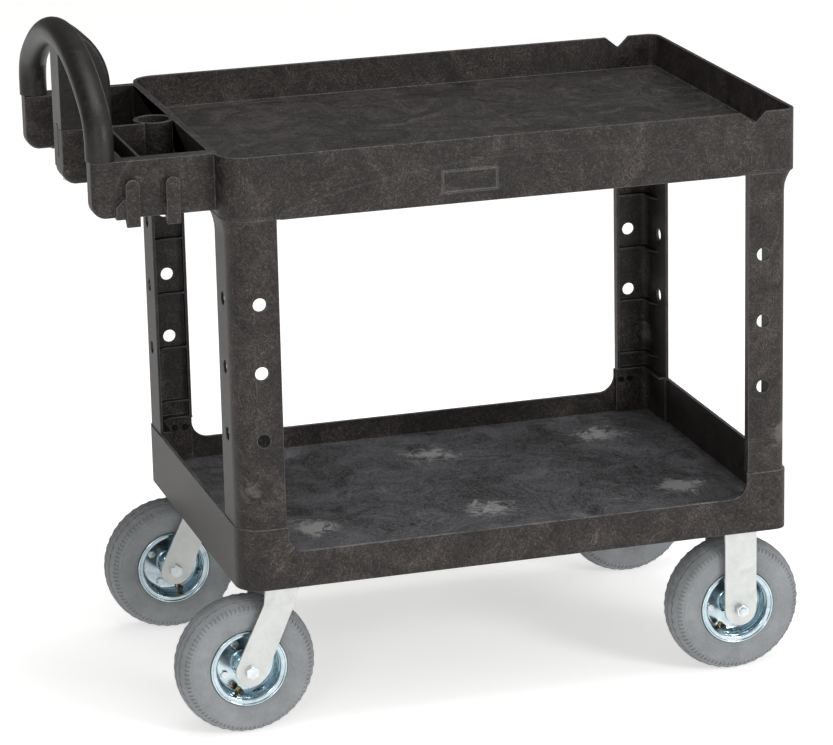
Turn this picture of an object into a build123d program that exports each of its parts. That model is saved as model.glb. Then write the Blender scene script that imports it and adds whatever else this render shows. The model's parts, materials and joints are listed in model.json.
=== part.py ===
from build123d import *
import os
from math import cos, radians, sin

# Two-shelf rolling utility cart with a moulded tool caddy, an arched push handle and four
# 224 mm pneumatic casters: two that swivel under the handle end and two rigid at the front end.
# Frame: millimetres, +X from the handle end towards the front end, +Y to the left of a person
# who pushes, +Z up. The sizes below are drawn from the shelf's own zero, and every node is moved
# by MIDDLE_X as it is written, so that the origin is on the floor under the middle of the cart.

# ---------------------------------------------------------------- shelves
TOP_X = (-364.0, 560.0)          # top tray, outside
TOP_HALF_Y = 316.0
RIM_Z = 936.0                    # rim of the top tray
TOP_FLOOR_Z = 881.0              # load surface of the top tray
SKIRT_Z = 836.0                  # lower edge of the top tray between the legs
BOTTOM_X = (-358.0, 548.0)       # bottom tray, outside
BOTTOM_HALF_Y = 318.0
BOTTOM_Z = 248.4                 # lower edge of the bottom tray
BOTTOM_FLOOR_Z = 270.0           # load surface of the bottom tray
BOTTOM_RIM_Z = 307.0             # rim of the two long walls
POST_Z = 347.5                   # top of the end walls and corner posts
WALL = 6.0
FLOOR = 7.0
REAR_R = 42.0                    # plan radius of the corners at the handle end
FRONT_R = 22.0                   # plan radius of the corners at the front end
PAST = 40.0                      # how far a trimming block runs past the wall it trims
RIB = 3.0
TOP_RIB_DEPTH = 20.0
BOTTOM_RIB_DEPTH = 10.0
CROSS_RIBS_X = (-190.0, -64.0, 62.0, 188.0, 314.0)
LONG_RIBS_Y = (-130.0, 0.0, 130.0)
DIP_R = 28.0                     # curve from a corner post down to the low rim
NOTCH_X = (464.7, 488.2, 508.2)  # V notch of each long rim: start, lowest point, end
NOTCH_DEPTH = 17.0
NOTCH_FLAT = 3.0
PANEL_STEP = 2.5                 # the arched panel of each long skirt stands proud by this
PANEL_END_R = 10.0               # curve at the panel's handle end
PANEL_X = (-277.0, 232.0, 465.0)
PANEL_Z = (848.0, 901.6, 866.0)
BADGE_X = (-22.0, 68.0)          # blank sunk field with a frame line on the arched panel
BADGE_Z = (853.0, 889.0)
BADGE_RIM = 2.0
BADGE_LINE = 1.2
BADGE_DEPTH = 0.8

# ---------------------------------------------------------------- caddy at the handle end
CADDY_X = -508.0                 # outer face between the handle sockets
CADDY_HALF_Y = 268.0
CADDY_Z = 848.0                  # underside
CADDY_FLOOR = 6.0
CADDY_SKIN = 5.0                 # walls of the hollow end block, open underneath
CADDY_IN_Y = (-242.0, 256.0)
CADDY_SLOT_X = (-500.0, -476.5)  # narrow compartment beside the handle
CADDY_BAY_X = (-471.5, -369.0)   # wide compartment beside the tray
CROSS_WALL_Y = -24.0
CROSS_WALL = 5.0
CUP_X = -395.0
CUP_OUT_R = 32.0
CUP_IN_R = 25.0
SOCKET_X = -553.0                # outer face of the handle sockets
SOCKET_R = 22.0
SOCKET_HALF_Y = 22.0
SOCKET_EDGE_R = 10.0
MID_SOCKET_X = (-548.0, -466.0)
MID_HALF_Y = 31.0
HOOK_X = (-493.7, -431.7)        # middle of the two cord hooks on each side
HOOK_W = 21.5
HOOK_Z = (836.0, 909.0)
HOOK_GAP = 9.0
HOOK_T = 4.0
HOOK_WEB = (4.0, 14.0)           # height of the sloped web at the tab and at the wall
GUSSET = (16.0, 4.0, 19.0, 32.0) # reach, flat top, low height and high height

# ---------------------------------------------------------------- legs
LEG_X = (-356.0, 544.0)          # outer faces of the rear and the front legs
LEG_HALF_Y = 315.0
LEG_Z = (348.0, 840.7)
LEG_FLANGE_X = (74.0, 65.0)      # width along X of the rear and the front legs
LEG_FLANGE_Y = 96.0
LEG_T = 5.0
LEG_LIP = 16.0
NECK_Z = 806.0                   # the legs flare to the tray above this height
NECK_STEPS = 4
LEDGE_Z = (376.0, 470.0, 564.0, 658.0, 752.0)
LEDGE_T = 3.5
LEG_HOLES_Z = (490.0, 597.5, 706.0)
LEG_HOLE_R = 10.5
LEG_HOLE_IN_X = (43.0, 40.0)     # hole centre from the outer corner: rear and front legs
LEG_HOLE_IN_Y = 60.0
LEDGE_TAPER = (42.0, 60.0)       # the ledges narrow to the flange between these depths
SHOULDER = 16.0                  # plate that joins a tongue to the leg's lower end
TOP_SHOULDER = 22.0
TONGUE_GAP = 0.3
SCREW_R = 2.5                    # pan-head screws of the tongues
SCREW_HEAD_R = 4.5
SCREW_HEAD = 3.5
PILOT_R = 2.6
SCREW_SHARES = (0.62, 0.86)      # places of the two screws along each flange
SCREW_RISE = (16.0, 18.0)        # height over the top shoulder, and below the bottom one

# ---------------------------------------------------------------- handle
HANDLE_X = -535.0
HANDLE_HALF_Y = 248.0
HANDLE_TOP_Z = 1080.0            # centre line of the arch
HANDLE_ARCH_R = 380.0
HANDLE_BEND_R = 60.0
HANDLE_R = 22.0
FIN_TOP = (-530.0, 1100.0)
FIN_BULGE = (-485.0, 1061.0)
FIN_SIDE = (-467.0, 1000.0)
FIN_EDGE = 8.0
PLUG_R = 14.0
PLUG_DEPTH = 46.0
PLUG_SCREW_R = 4.0               # screw up through each socket into the plug
PLUG_SCREW_AF = 13.0
PLUG_SCREW_HEAD = 5.8
PLUG_SINK_R = 9.0
PLUG_SINK = 8.0

# ---------------------------------------------------------------- wheels and casters
WHEEL_R = 112.0
WHEEL_TURNS = {"front_right": 125, "front_left": 60, "rear_right": 110, "rear_left": 75} # valve angles
TYRE_HALF = 34.5
TYRE_SHOULDER = (99.0, 30.5)     # radius and half width where the crown meets the side wall
TUBE_R = 82.0                    # middle of the air chamber
TUBE_HALF = (23.2, 26.7)         # half height and half width of the inner tube
TUBE_T = 2.7
BEAD_MOUTH = (24.0, 38.0)        # opening between the beads: height and width
RIGID_X = 474.0
SWIVEL_X = -284.0
TRAIL = 58.0
CASTER_Y = 252.6
PLATE = (114.0, 102.0, 6.0)
PLATE_CORNER_R = 8.0
PLATE_HOLES = 76.2
PLATE_HOLE_R = 5.3
CASTER_BOLT_R = 5.0
CASTER_BOLT_AF = 14.0
INSERT_R = 7.6                   # threaded inserts in the bottom tray's floor
INSERT_SKIN = 1.5                # plastic left over each insert
WASHER = (9.5, 1.6)              # radius and thickness
CASTER_HEAD = 6.5
FORK_IN = 41.4
FORK_T = 5.0
FORK_END_R = 25.0
RIGID_END_R = 27.0
RIGID_ROOT_Z = 180.0             # the arms are parallel-sided above this height
AXLE_AF = 19.0
AXLE_HEAD = 8.0
AXLE_NUT = 10.0
AXLE_END = 13.0                  # threaded end past the fork
SPACER_R = 10.0
CROWN_Z = (238.0, 244.0)         # crown of the swivel fork
CROWN_X = (-31.0, 23.0)
CROWN_R = 42.0
ARM_ROOT = ((-35.0, 219.0), (14.0, 213.0)) # X and Z where the arms start to lean back
KINGPIN_R = 8.0
KINGPIN_AF = 24.0
KINGPIN_WASHER_R = 15.0
KINGPIN_Z = (227.0, 229.0, 236.0) # lower end, and the nut's two faces
RUNNING = 0.05
BALL_R = 4.0
BALL_PITCH_R = 33.5
BALL_COUNT = 14
BALL_Z = 250.6
RACE_GAP = 1.2
RACE_IN = 7.0                    # width of the races inside and outside the ball circle
UPPER_RACE_OUT = 7.5
LOWER_RACE_OUT = 6.5
AXLE_R = 6.0
HUB_HALF = 34.0
HUB_R = 17.5
HUB_BORE_R = 9.0
HUB_CONE_Y = (6.0, 16.0)         # ends of the cone from the collar to the barrel
BEARING_R = 14.0
BEARING_W = 10.0
RIM_R = 61.2
RIM_SEAT_R = 52.4
RIM_T = 2.5
RIM_BEAD_Y = 27.5                # inner face of the flange
RIM_LIP_Y = 32.5                 # end of the rolled lip
RIM_BORE_R = 23.0
RIM_BOLT_PITCH_R = 36.5
RIM_BOLTS = 4
RIM_BOLT_R = 3.2
RIM_BOLT_AF = 11.0
RIM_BOLT_HEAD = 4.5
RIM_NUT = 5.5
VALVE_PITCH_R = 40.0
VALVE_Y = (12.0, 22.0)
VALVE_R = 3.0

PLATE_TOP_Z = BOTTOM_FLOOR_Z - FLOOR
MIDDLE_X = (HANDLE_X - HANDLE_R + RIGID_X + WHEEL_R) / 2
UP = (0, 0, 1)
SIDES = {"right": -1, "left": 1}


def block(x, y, z):
    """Box between two corners, given as (low, high) pairs."""
    size = Box(x[1] - x[0], y[1] - y[0], z[1] - z[0])
    return Pos((x[0] + x[1]) / 2, (y[0] + y[1]) / 2, (z[0] + z[1]) / 2) * size


def slab(x, half_y, z, inset=0.0):
    """Upright tray outline with its rounded corners, drawn in by inset."""
    face = Pos((x[0] + x[1]) / 2, 0) * Rectangle(x[1] - x[0] - 2 * inset, 2 * (half_y - inset))
    face = fillet(face.vertices().group_by(Axis.X)[0], REAR_R - inset)
    face = fillet(face.vertices().group_by(Axis.X)[-1], FRONT_R - inset)
    return extrude(Pos(0, 0, z[0]) * face, amount=z[1] - z[0])


def rod(radius, start, end):
    """Round bar between two points."""
    line = Line(start, end)
    return extrude(Plane(origin=start, z_dir=line % 0) * Circle(radius), amount=line.length)


def hexagon(across_flats, start, end):
    """Hexagonal bar between two points."""
    line = Line(start, end)
    face = RegularPolygon(across_flats / 2, 6, major_radius=False)
    return extrude(Plane(origin=start, z_dir=line % 0) * face, amount=line.length)


def side_prism(points, y):
    """Outline of (x, z) points drawn out between two Y positions."""
    outline = make_face(Polyline([(x, y[0], z) for x, z in points], close=True))
    return extrude(outline, amount=y[1] - y[0], dir=(0, 1, 0))


def ring(points):
    """Solid turned about the wheel axis (Y) from an outline of (y, radius) points."""
    outline = make_face(Polyline([(r, y, 0) for y, r in points], close=True))
    return revolve(outline, Axis.Y)


def corners():
    """End (0 rear, 1 front) and side sign of the four legs."""
    return [(end, side) for end in (0, 1) for side in SIDES.values()]


# ================================================================ shelves
def leg_zone(end, side, z):
    """Block over a leg's plan and past its outer faces, used to trim the tray skirt above it."""
    out = -1 if end == 0 else 1
    x_out = LEG_X[end] + out * PAST
    x_in = LEG_X[end] - out * LEG_FLANGE_X[end]
    y_in = side * (LEG_HALF_Y - LEG_FLANGE_Y)
    y_out = side * (LEG_HALF_Y + PAST)
    return block(sorted((x_out, x_in)), sorted((y_in, y_out)), z)


def notch_cutter():
    """V notch across both long rims of the top tray."""
    start, low, end = NOTCH_X
    half = NOTCH_FLAT / 2
    points = [(start, RIM_Z + 1), (low - half, RIM_Z - NOTCH_DEPTH), (low + half, RIM_Z - NOTCH_DEPTH)]
    points.append((end, RIM_Z + 1))
    return side_prism(points, (-TOP_HALF_Y - 1, TOP_HALF_Y + 1))


def arched_panel(side):
    """Proud lower panel with an arched top on one long skirt."""
    start, middle, end = [(x, 0, z) for x, z in zip(PANEL_X, PANEL_Z)]
    top = ThreePointArc(start, middle, end)
    rest = Polyline(end, (PANEL_X[2], 0, SKIRT_Z), (PANEL_X[0], 0, SKIRT_Z), start)
    face = make_face([top, rest])
    outline = fillet(face.vertices().sort_by_distance(Vector(*start))[0], PANEL_END_R)
    return extrude(Pos(0, side * (TOP_HALF_Y - 1), 0) * outline, amount=PANEL_STEP + 1, dir=(0, side, 0))


def badge_field(side):
    """Shallow blank field on the arched panel, cut so that a thin frame stays around it."""
    face = side * (TOP_HALF_Y + PANEL_STEP)
    outer = block(BADGE_X, sorted((face - side * BADGE_DEPTH, face + side)), BADGE_Z)
    frame_x = (BADGE_X[0] + BADGE_RIM, BADGE_X[1] - BADGE_RIM)
    frame_z = (BADGE_Z[0] + BADGE_RIM, BADGE_Z[1] - BADGE_RIM)
    line_x = (frame_x[0] + BADGE_LINE, frame_x[1] - BADGE_LINE)
    line_z = (frame_z[0] + BADGE_LINE, frame_z[1] - BADGE_LINE)
    depth = sorted((face - side * BADGE_DEPTH, face + side))
    return outer - (block(frame_x, depth, frame_z) - block(line_x, depth, line_z))


def underside_ribs(half_y, x, z_top, depth):
    """Grid of stiffening ribs under a tray floor."""
    ribs = []
    for rib_x in CROSS_RIBS_X:
        ribs.append(block((rib_x, rib_x + RIB), (-half_y, half_y), (z_top - depth, z_top)))
    for rib_y in LONG_RIBS_Y:
        ribs.append(block(x, (rib_y - RIB / 2, rib_y + RIB / 2), (z_top - depth, z_top)))
    return ribs


def hook(x, side):
    """Cord hook: an upright tab that stands off the caddy wall and joins it at the foot."""
    wall = side * (CADDY_HALF_Y - 1)
    near = side * (CADDY_HALF_Y + HOOK_GAP)
    far = side * (CADDY_HALF_Y + HOOK_GAP + HOOK_T)
    low, high = HOOK_Z
    profile = [(wall, CADDY_Z), (wall, CADDY_Z + HOOK_WEB[1]), (near, CADDY_Z + HOOK_WEB[0]), (near, high),
               (far, high), (far, low), (near, low)]
    left = x - HOOK_W / 2
    outline = make_face(Polyline([(left, y, z) for y, z in profile], close=True))
    tab = extrude(outline, amount=HOOK_W, dir=(1, 0, 0))
    tips = tab.edges().filter_by(Axis.Y).group_by(Axis.Z)[-1]
    return fillet(tips, HOOK_W / 2 - 0.5)


def hook_gusset(side):
    """Sloped gusset on the handle side of the first hook."""
    right = HOOK_X[0] - HOOK_W / 2 + 1
    reach, flat, low, high = GUSSET
    points = [(right - reach, CADDY_Z), (right - reach, CADDY_Z + low), (right - flat, CADDY_Z + high),
              (right, CADDY_Z + high), (right, CADDY_Z)]
    return side_prism(points, sorted((side * (CADDY_HALF_Y - 1), side * (CADDY_HALF_Y + HOOK_GAP))))


def handle_seats():
    """X and Y of the three places where the handle plugs into the caddy."""
    return [(HANDLE_X, -HANDLE_HALF_Y), (HANDLE_X, 0.0), (HANDLE_X, HANDLE_HALF_Y)]


def caddy():
    """Tool caddy with its compartments, cup, handle sockets and cord hooks."""
    body = block((CADDY_X, TOP_X[0] + WALL), (-CADDY_HALF_Y, CADDY_HALF_Y), (CADDY_Z, RIM_Z))
    for x, y in handle_seats():
        half = MID_HALF_Y if y == 0 else SOCKET_HALF_Y
        out = MID_SOCKET_X[0] if y == 0 else SOCKET_X
        low_y = max(y - half, -CADDY_HALF_Y)
        high_y = min(y + half, CADDY_HALF_Y)
        socket = block((out, CADDY_X + 2), (low_y, high_y), (CADDY_Z, RIM_Z))
        foot = socket.edges().filter_by(Axis.Y).group_by(Axis.Z)[0].sort_by(Axis.X)[0]
        socket = fillet(foot, SOCKET_R)
        uprights = socket.edges().filter_by(Axis.Z).group_by(Axis.X)[0]
        body += fillet(uprights, SOCKET_EDGE_R)
    floor_z = CADDY_Z + CADDY_FLOOR
    for x in (CADDY_SLOT_X, CADDY_BAY_X):
        body -= block(x, CADDY_IN_Y, (floor_z, RIM_Z + 1))
    body += block(MID_SOCKET_X, (-MID_HALF_Y, MID_HALF_Y), (CADDY_Z + SOCKET_R, RIM_Z))
    wall_y = (CROSS_WALL_Y - CROSS_WALL / 2, CROSS_WALL_Y + CROSS_WALL / 2)
    body += block((CADDY_BAY_X[0], CUP_X - CUP_IN_R + 4), wall_y, (floor_z, RIM_Z - 1))
    body += rod(CUP_OUT_R, (CUP_X, 0, floor_z), (CUP_X, 0, RIM_Z - 0.5))
    body -= rod(CUP_IN_R, (CUP_X, 0, floor_z), (CUP_X, 0, RIM_Z + 1))
    hollow_y = (-CADDY_HALF_Y + CADDY_SKIN, CADDY_IN_Y[0] - CADDY_SKIN)
    body -= block((CADDY_X + CADDY_SKIN, CADDY_BAY_X[1]), hollow_y, (CADDY_Z - 1, RIM_Z - FLOOR))
    for side in SIDES.values():
        for x in HOOK_X:
            body += hook(x, side)
        body += hook_gusset(side)
    for x, y in handle_seats():
        body -= rod(PLUG_R + TONGUE_GAP, (x, y, RIM_Z - PLUG_DEPTH - 1), (x, y, RIM_Z + 1))
        body -= rod(PLUG_SCREW_R + 0.4, (x, y, CADDY_Z - 1), (x, y, RIM_Z - PLUG_DEPTH))
        body -= rod(PLUG_SINK_R, (x, y, CADDY_Z - 1), (x, y, CADDY_Z + PLUG_SINK))
    return body


def top_shelf():
    """Top tray, its arched skirt panels and the caddy, moulded in one piece."""
    body = slab(TOP_X, TOP_HALF_Y, (SKIRT_Z, RIM_Z))
    body -= slab(TOP_X, TOP_HALF_Y, (TOP_FLOOR_Z, RIM_Z + 1), WALL)
    body -= slab(TOP_X, TOP_HALF_Y, (SKIRT_Z - 1, TOP_FLOOR_Z - FLOOR), WALL)
    body -= notch_cutter()
    for end, side in corners():
        body -= leg_zone(end, side, (SKIRT_Z - 1, LEG_Z[1] + TONGUE_GAP))
    for side in SIDES.values():
        body += arched_panel(side)
        body -= badge_field(side)
    rib_x = (TOP_X[0] + WALL / 2, TOP_X[1] - WALL / 2)
    for rib in underside_ribs(TOP_HALF_Y - WALL / 2, rib_x, TOP_FLOOR_Z - FLOOR, TOP_RIB_DEPTH):
        body += rib
    body += caddy()
    for _, start, stop in leg_screw_lines("top"):
        body -= rod(PILOT_R, start, stop)
    return body


def bottom_shelf():
    """Bottom tray: tall end walls and corner posts, low long walls."""
    body = slab(BOTTOM_X, BOTTOM_HALF_Y, (BOTTOM_Z, POST_Z))
    body -= slab(BOTTOM_X, BOTTOM_HALF_Y, (BOTTOM_FLOOR_Z, POST_Z + 1), WALL)
    body -= slab(BOTTOM_X, BOTTOM_HALF_Y, (BOTTOM_Z - 1, BOTTOM_FLOOR_Z - FLOOR), WALL)
    dip = block((LEG_X[0] + LEG_FLANGE_X[0] + 2, LEG_X[1] - LEG_FLANGE_X[1] - 2),
                (-BOTTOM_HALF_Y - 1, BOTTOM_HALF_Y + 1), (BOTTOM_RIM_Z, POST_Z + PAST))
    body -= fillet(dip.edges().filter_by(Axis.Y).group_by(Axis.Z)[0], DIP_R)
    rib_x = (BOTTOM_X[0] + WALL / 2, BOTTOM_X[1] - WALL / 2)
    for rib in underside_ribs(BOTTOM_HALF_Y - WALL / 2, rib_x, PLATE_TOP_Z, BOTTOM_RIB_DEPTH):
        body += rib
    for x, y in plate_holes():
        body -= rod(INSERT_R + RUNNING, (x, y, PLATE_TOP_Z - 1), (x, y, BOTTOM_FLOOR_Z - INSERT_SKIN))
    for _, start, stop in leg_screw_lines("bottom"):
        body -= rod(PILOT_R, start, stop)
    return body


# ================================================================ legs
def leg_radius(end):
    """Plan radius of a leg's outer corner, a little tighter than the tray's."""
    return (REAR_R if end == 0 else FRONT_R) - 4


def round_angle(points, outer, inner, radius):
    """L-shaped outline with its outer corner rounded and its inner corner kept parallel."""
    face = make_face(Polyline(points, close=True))
    inner_r = radius - abs(outer[0] - inner[0])
    if inner_r > 0.5:
        face = fillet(face.vertices().sort_by_distance(inner)[0], inner_r)
    return fillet(face.vertices().sort_by_distance(outer)[0], radius).face()


def angle_section(end, side, z, ledge=False):
    """L-shaped section of a leg with one inward lip, or of a ledge inside it."""
    out = -1 if end == 0 else 1
    wide_x, wide_y, thick = LEG_FLANGE_X[end], LEG_FLANGE_Y, LEG_T
    uv = [(0, 0), (0, wide_y), (thick, wide_y), (thick, thick), (wide_x - thick, thick),
          (wide_x - thick, LEG_LIP), (wide_x, LEG_LIP), (wide_x, 0)]
    if ledge:
        thick = LEG_LIP
        uv = [(0, 0), (0, LEDGE_TAPER[1]), (LEG_T, LEDGE_TAPER[1]), (thick, LEDGE_TAPER[0]), (thick, thick),
              (wide_x, thick), (wide_x, 0)]
    x_out, y_out = LEG_X[end], side * LEG_HALF_Y
    points = [(x_out - out * u, y_out - side * v, z) for u, v in uv]
    inner = (x_out - out * thick, y_out - side * thick, z)
    return round_angle(points, (x_out, y_out, z), inner, leg_radius(end))


def neck_section(end, side, z, share):
    """Section of the flared neck: the outer corner moves out to the tray skirt by share."""
    out = -1 if end == 0 else 1
    edge = TOP_X[end]
    corner_x = LEG_X[end] + share * (edge - LEG_X[end])
    corner_y = side * (LEG_HALF_Y + share * (TOP_HALF_Y - LEG_HALF_Y))
    inner_x = LEG_X[end] - out * LEG_FLANGE_X[end]
    inner_y = side * (LEG_HALF_Y - LEG_FLANGE_Y)
    skin_x = corner_x - out * LEG_T
    skin_y = corner_y - side * LEG_T
    points = [(corner_x, corner_y, z), (corner_x, inner_y, z), (skin_x, inner_y, z), (skin_x, skin_y, z),
              (inner_x, skin_y, z), (inner_x, corner_y, z)]
    return round_angle(points, (corner_x, corner_y, z), (skin_x, skin_y, z), leg_radius(end) + 4 * share)


def tongue_corner(end, side, shelf):
    """Outer corner of the leg's tongue inside a tray wall."""
    out = -1 if end == 0 else 1
    edge, half_y = (TOP_X, TOP_HALF_Y) if shelf == "top" else (BOTTOM_X, BOTTOM_HALF_Y)
    inset = WALL + TONGUE_GAP
    return edge[end] - out * inset, side * (half_y - inset)


def tongue(end, side, shelf, z, thick=LEG_T):
    """Part of the leg that stands inside a tray's corner."""
    out = -1 if end == 0 else 1
    x_out, y_out = tongue_corner(end, side, shelf)
    inner_x = LEG_X[end] - out * LEG_FLANGE_X[end]
    inner_y = side * (LEG_HALF_Y - LEG_FLANGE_Y)
    points = [(x_out, y_out), (x_out, inner_y), (x_out - out * thick, inner_y),
              (x_out - out * thick, y_out - side * thick), (inner_x, y_out - side * thick), (inner_x, y_out)]
    inner = (x_out - out * thick, y_out - side * thick, z[0])
    face = round_angle([(x, y, z[0]) for x, y in points], (x_out, y_out, z[0]), inner, leg_radius(end) - 2)
    return extrude(face, amount=z[1] - z[0], dir=UP)


def leg_screw_lines(shelf):
    """Start and end of the pilot holes that hold each tongue to its tray wall."""
    z = LEG_Z[1] + SCREW_RISE[0] if shelf == "top" else LEG_Z[0] - SCREW_RISE[1]
    lines = []
    for end, side in corners():
        out = -1 if end == 0 else 1
        x_out, y_out = tongue_corner(end, side, shelf)
        for share in SCREW_SHARES:
            x = LEG_X[end] - out * LEG_FLANGE_X[end] * share
            start = (x, y_out - side * (LEG_T + 0.1), z)
            lines.append((end, start, (x, y_out + side * (TONGUE_GAP + WALL - 2), z)))
    return lines


def leg(end, side):
    """Angle-section leg with lips, inner ledges, accessory holes, flared neck and two tongues."""
    low, high = LEG_Z
    body = extrude(angle_section(end, side, low), amount=high - low - 2, dir=UP)
    for step in range(NECK_STEPS):
        shares = (step / NECK_STEPS, (step + 1) / NECK_STEPS)
        heights = [NECK_Z + (high - NECK_Z) * share for share in shares]
        faces = [neck_section(end, side, z, share ** 2) for z, share in zip(heights, shares)]
        body += loft(faces, ruled=True)
    for z in LEDGE_Z:
        body += extrude(angle_section(end, side, z, ledge=True), amount=LEDGE_T, dir=UP)
    for z in (low, high - LEDGE_T):
        face = neck_section(end, side, z, 0 if z == low else 1)
        body += extrude(face, amount=LEDGE_T, dir=UP)
    body += tongue(end, side, "bottom", (BOTTOM_FLOOR_Z + TONGUE_GAP, low + LEDGE_T))
    body += tongue(end, side, "bottom", (low, low + LEDGE_T), SHOULDER)
    body += tongue(end, side, "top", (high - LEDGE_T, TOP_FLOOR_Z - FLOOR - TOP_RIB_DEPTH))
    body += tongue(end, side, "top", (high - LEDGE_T, high), TOP_SHOULDER)
    out = -1 if end == 0 else 1
    for z in LEG_HOLES_Z:
        x = LEG_X[end] - out * LEG_HOLE_IN_X[end]
        y = side * (LEG_HALF_Y - LEG_HOLE_IN_Y)
        body -= rod(LEG_HOLE_R, (x, side * (LEG_HALF_Y + 1), z), (x, side * (LEG_HALF_Y - LEG_T - 1), z))
        body -= rod(LEG_HOLE_R, (LEG_X[end] + out, y, z), (LEG_X[end] - out * (LEG_T + 1), y, z))
    for shelf in ("top", "bottom"):
        for screw_end, start, stop in leg_screw_lines(shelf):
            if screw_end == end and start[1] * side > 0:
                body -= rod(PILOT_R, (start[0], start[1] - side, start[2]), stop)
    return body


def leg_screws():
    """Short pan-head screws that fix every tongue to its tray, as one group."""
    screws = []
    for shelf in ("top", "bottom"):
        for _, start, stop in leg_screw_lines(shelf):
            side = 1 if start[1] > 0 else -1
            end = (stop[0], stop[1] - side * 0.5, stop[2])
            head = rod(SCREW_HEAD_R, (start[0], start[1] - side * SCREW_HEAD, start[2]), start)
            screws.append(head + rod(SCREW_R, start, end))
    return screws


# ================================================================ handle
def handle_path():
    """Centre line of the arch: two upright ends, two bends and a shallow crown."""
    half, crown_z = HANDLE_HALF_Y, HANDLE_TOP_Z - HANDLE_ARCH_R
    bend_y = half - HANDLE_BEND_R
    reach = HANDLE_ARCH_R - HANDLE_BEND_R
    bend_z = crown_z + (reach ** 2 - bend_y ** 2) ** 0.5
    joint = HANDLE_ARCH_R / reach
    joint_y, joint_z = bend_y * joint, crown_z + (bend_z - crown_z) * joint
    direction = Vector(0, -1, 0) + Vector(0, -bend_y, bend_z - crown_z).normalized()
    middle = Vector(0, -bend_y, bend_z) + direction.normalized() * HANDLE_BEND_R
    place = [(HANDLE_X, -half, RIM_Z), (HANDLE_X, -half, bend_z), (HANDLE_X, middle.Y, middle.Z)]
    place += [(HANDLE_X, -joint_y, joint_z), (HANDLE_X, 0, HANDLE_TOP_Z), (HANDLE_X, joint_y, joint_z)]
    place += [(HANDLE_X, -middle.Y, middle.Z), (HANDLE_X, half, bend_z), (HANDLE_X, half, RIM_Z)]
    return [Line(place[0], place[1]), ThreePointArc(*place[1:4]), ThreePointArc(*place[3:6]),
            ThreePointArc(*place[5:8]), Line(place[7], place[8])]


def handle():
    """Arched grip with a centre fin, and a round plug for each caddy socket."""
    start = Plane(origin=(HANDLE_X, -HANDLE_HALF_Y, RIM_Z), z_dir=UP)
    body = sweep(start * Circle(HANDLE_R), path=Wire(handle_path()))
    left, right = MID_SOCKET_X
    top, bulge, flank = [(x, 0, z) for x, z in (FIN_TOP, FIN_BULGE, (right, FIN_SIDE[1]))]
    outer = Polyline(top, (left, 0, HANDLE_TOP_Z), (left, 0, RIM_Z), (right, 0, RIM_Z), flank)
    outline = make_face([outer, ThreePointArc(flank, bulge, top)])
    fin = extrude(Pos(0, -MID_HALF_Y, 0) * outline, amount=2 * MID_HALF_Y, dir=(0, 1, 0))
    rounded = [edge for edge in fin.edges() if edge.center().X > left + 20 and edge.center().Z > RIM_Z + 5
               and abs(edge.center().Y) > MID_HALF_Y - 1]
    body += fillet(rounded, FIN_EDGE)
    for x, y in handle_seats():
        body += rod(PLUG_R, (x, y, RIM_Z - PLUG_DEPTH), (x, y, RIM_Z + 4))
        body -= rod(PLUG_SCREW_R + RUNNING, (x, y, RIM_Z - PLUG_DEPTH - 1), (x, y, RIM_Z - 12))
    return body


def handle_screws():
    """One screw up through each socket into the handle's plug."""
    screws = []
    for x, y in handle_seats():
        head_z = CADDY_Z + PLUG_SINK - 0.2
        shank = rod(PLUG_SCREW_R, (x, y, head_z - 0.3), (x, y, RIM_Z - 16))
        screws.append(shank + hexagon(PLUG_SCREW_AF, (x, y, head_z - PLUG_SCREW_HEAD), (x, y, head_z)))
    return screws


# ================================================================ casters
def plate_centres():
    """X and Y of the four caster plates."""
    return [(x, side * CASTER_Y) for x in (SWIVEL_X, RIGID_X) for side in SIDES.values()]


def plate_holes():
    """X and Y of the sixteen caster bolts."""
    half = PLATE_HOLES / 2
    return [(x + i * half, y + j * half) for x, y in plate_centres() for i in (-1, 1) for j in (-1, 1)]


def caster_bolts():
    """Hexagon bolts with washers, driven up through the caster plates into the tray's inserts."""
    bolts = []
    plate_z = PLATE_TOP_Z - PLATE[2]
    seat = plate_z - WASHER[1]
    for x, y in plate_holes():
        washer = rod(WASHER[0], (x, y, seat), (x, y, plate_z - 0.05))
        head = hexagon(CASTER_BOLT_AF, (x, y, seat - CASTER_HEAD), (x, y, seat + 0.1))
        shank = rod(CASTER_BOLT_R, (x, y, seat), (x, y, BOTTOM_FLOOR_Z - INSERT_SKIN - 1))
        bolts.append(washer + head + shank)
    return bolts


def caster_inserts():
    """Threaded steel inserts moulded into the underside of the bottom tray's floor."""
    inserts = []
    top = BOTTOM_FLOOR_Z - INSERT_SKIN - 0.05
    for x, y in plate_holes():
        ends = (x, y, PLATE_TOP_Z), (x, y, top)
        inserts.append(rod(INSERT_R, *ends) - rod(CASTER_BOLT_R + RUNNING, *ends))
    return inserts


def mounting_plate():
    """Rectangular caster plate with four bolt holes, centred on X = Y = 0."""
    half_x, half_y = PLATE[0] / 2, PLATE[1] / 2
    body = block((-half_x, half_x), (-half_y, half_y), (PLATE_TOP_Z - PLATE[2], PLATE_TOP_Z - 0.05))
    body = fillet(body.edges().filter_by(Axis.Z), PLATE_CORNER_R)
    for i in (-1, 1):
        for j in (-1, 1):
            x, y = i * PLATE_HOLES / 2, j * PLATE_HOLES / 2
            body -= rod(PLATE_HOLE_R, (x, y, PLATE_TOP_Z - PLATE[2] - 1), (x, y, PLATE_TOP_Z + 1))
    return body


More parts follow.
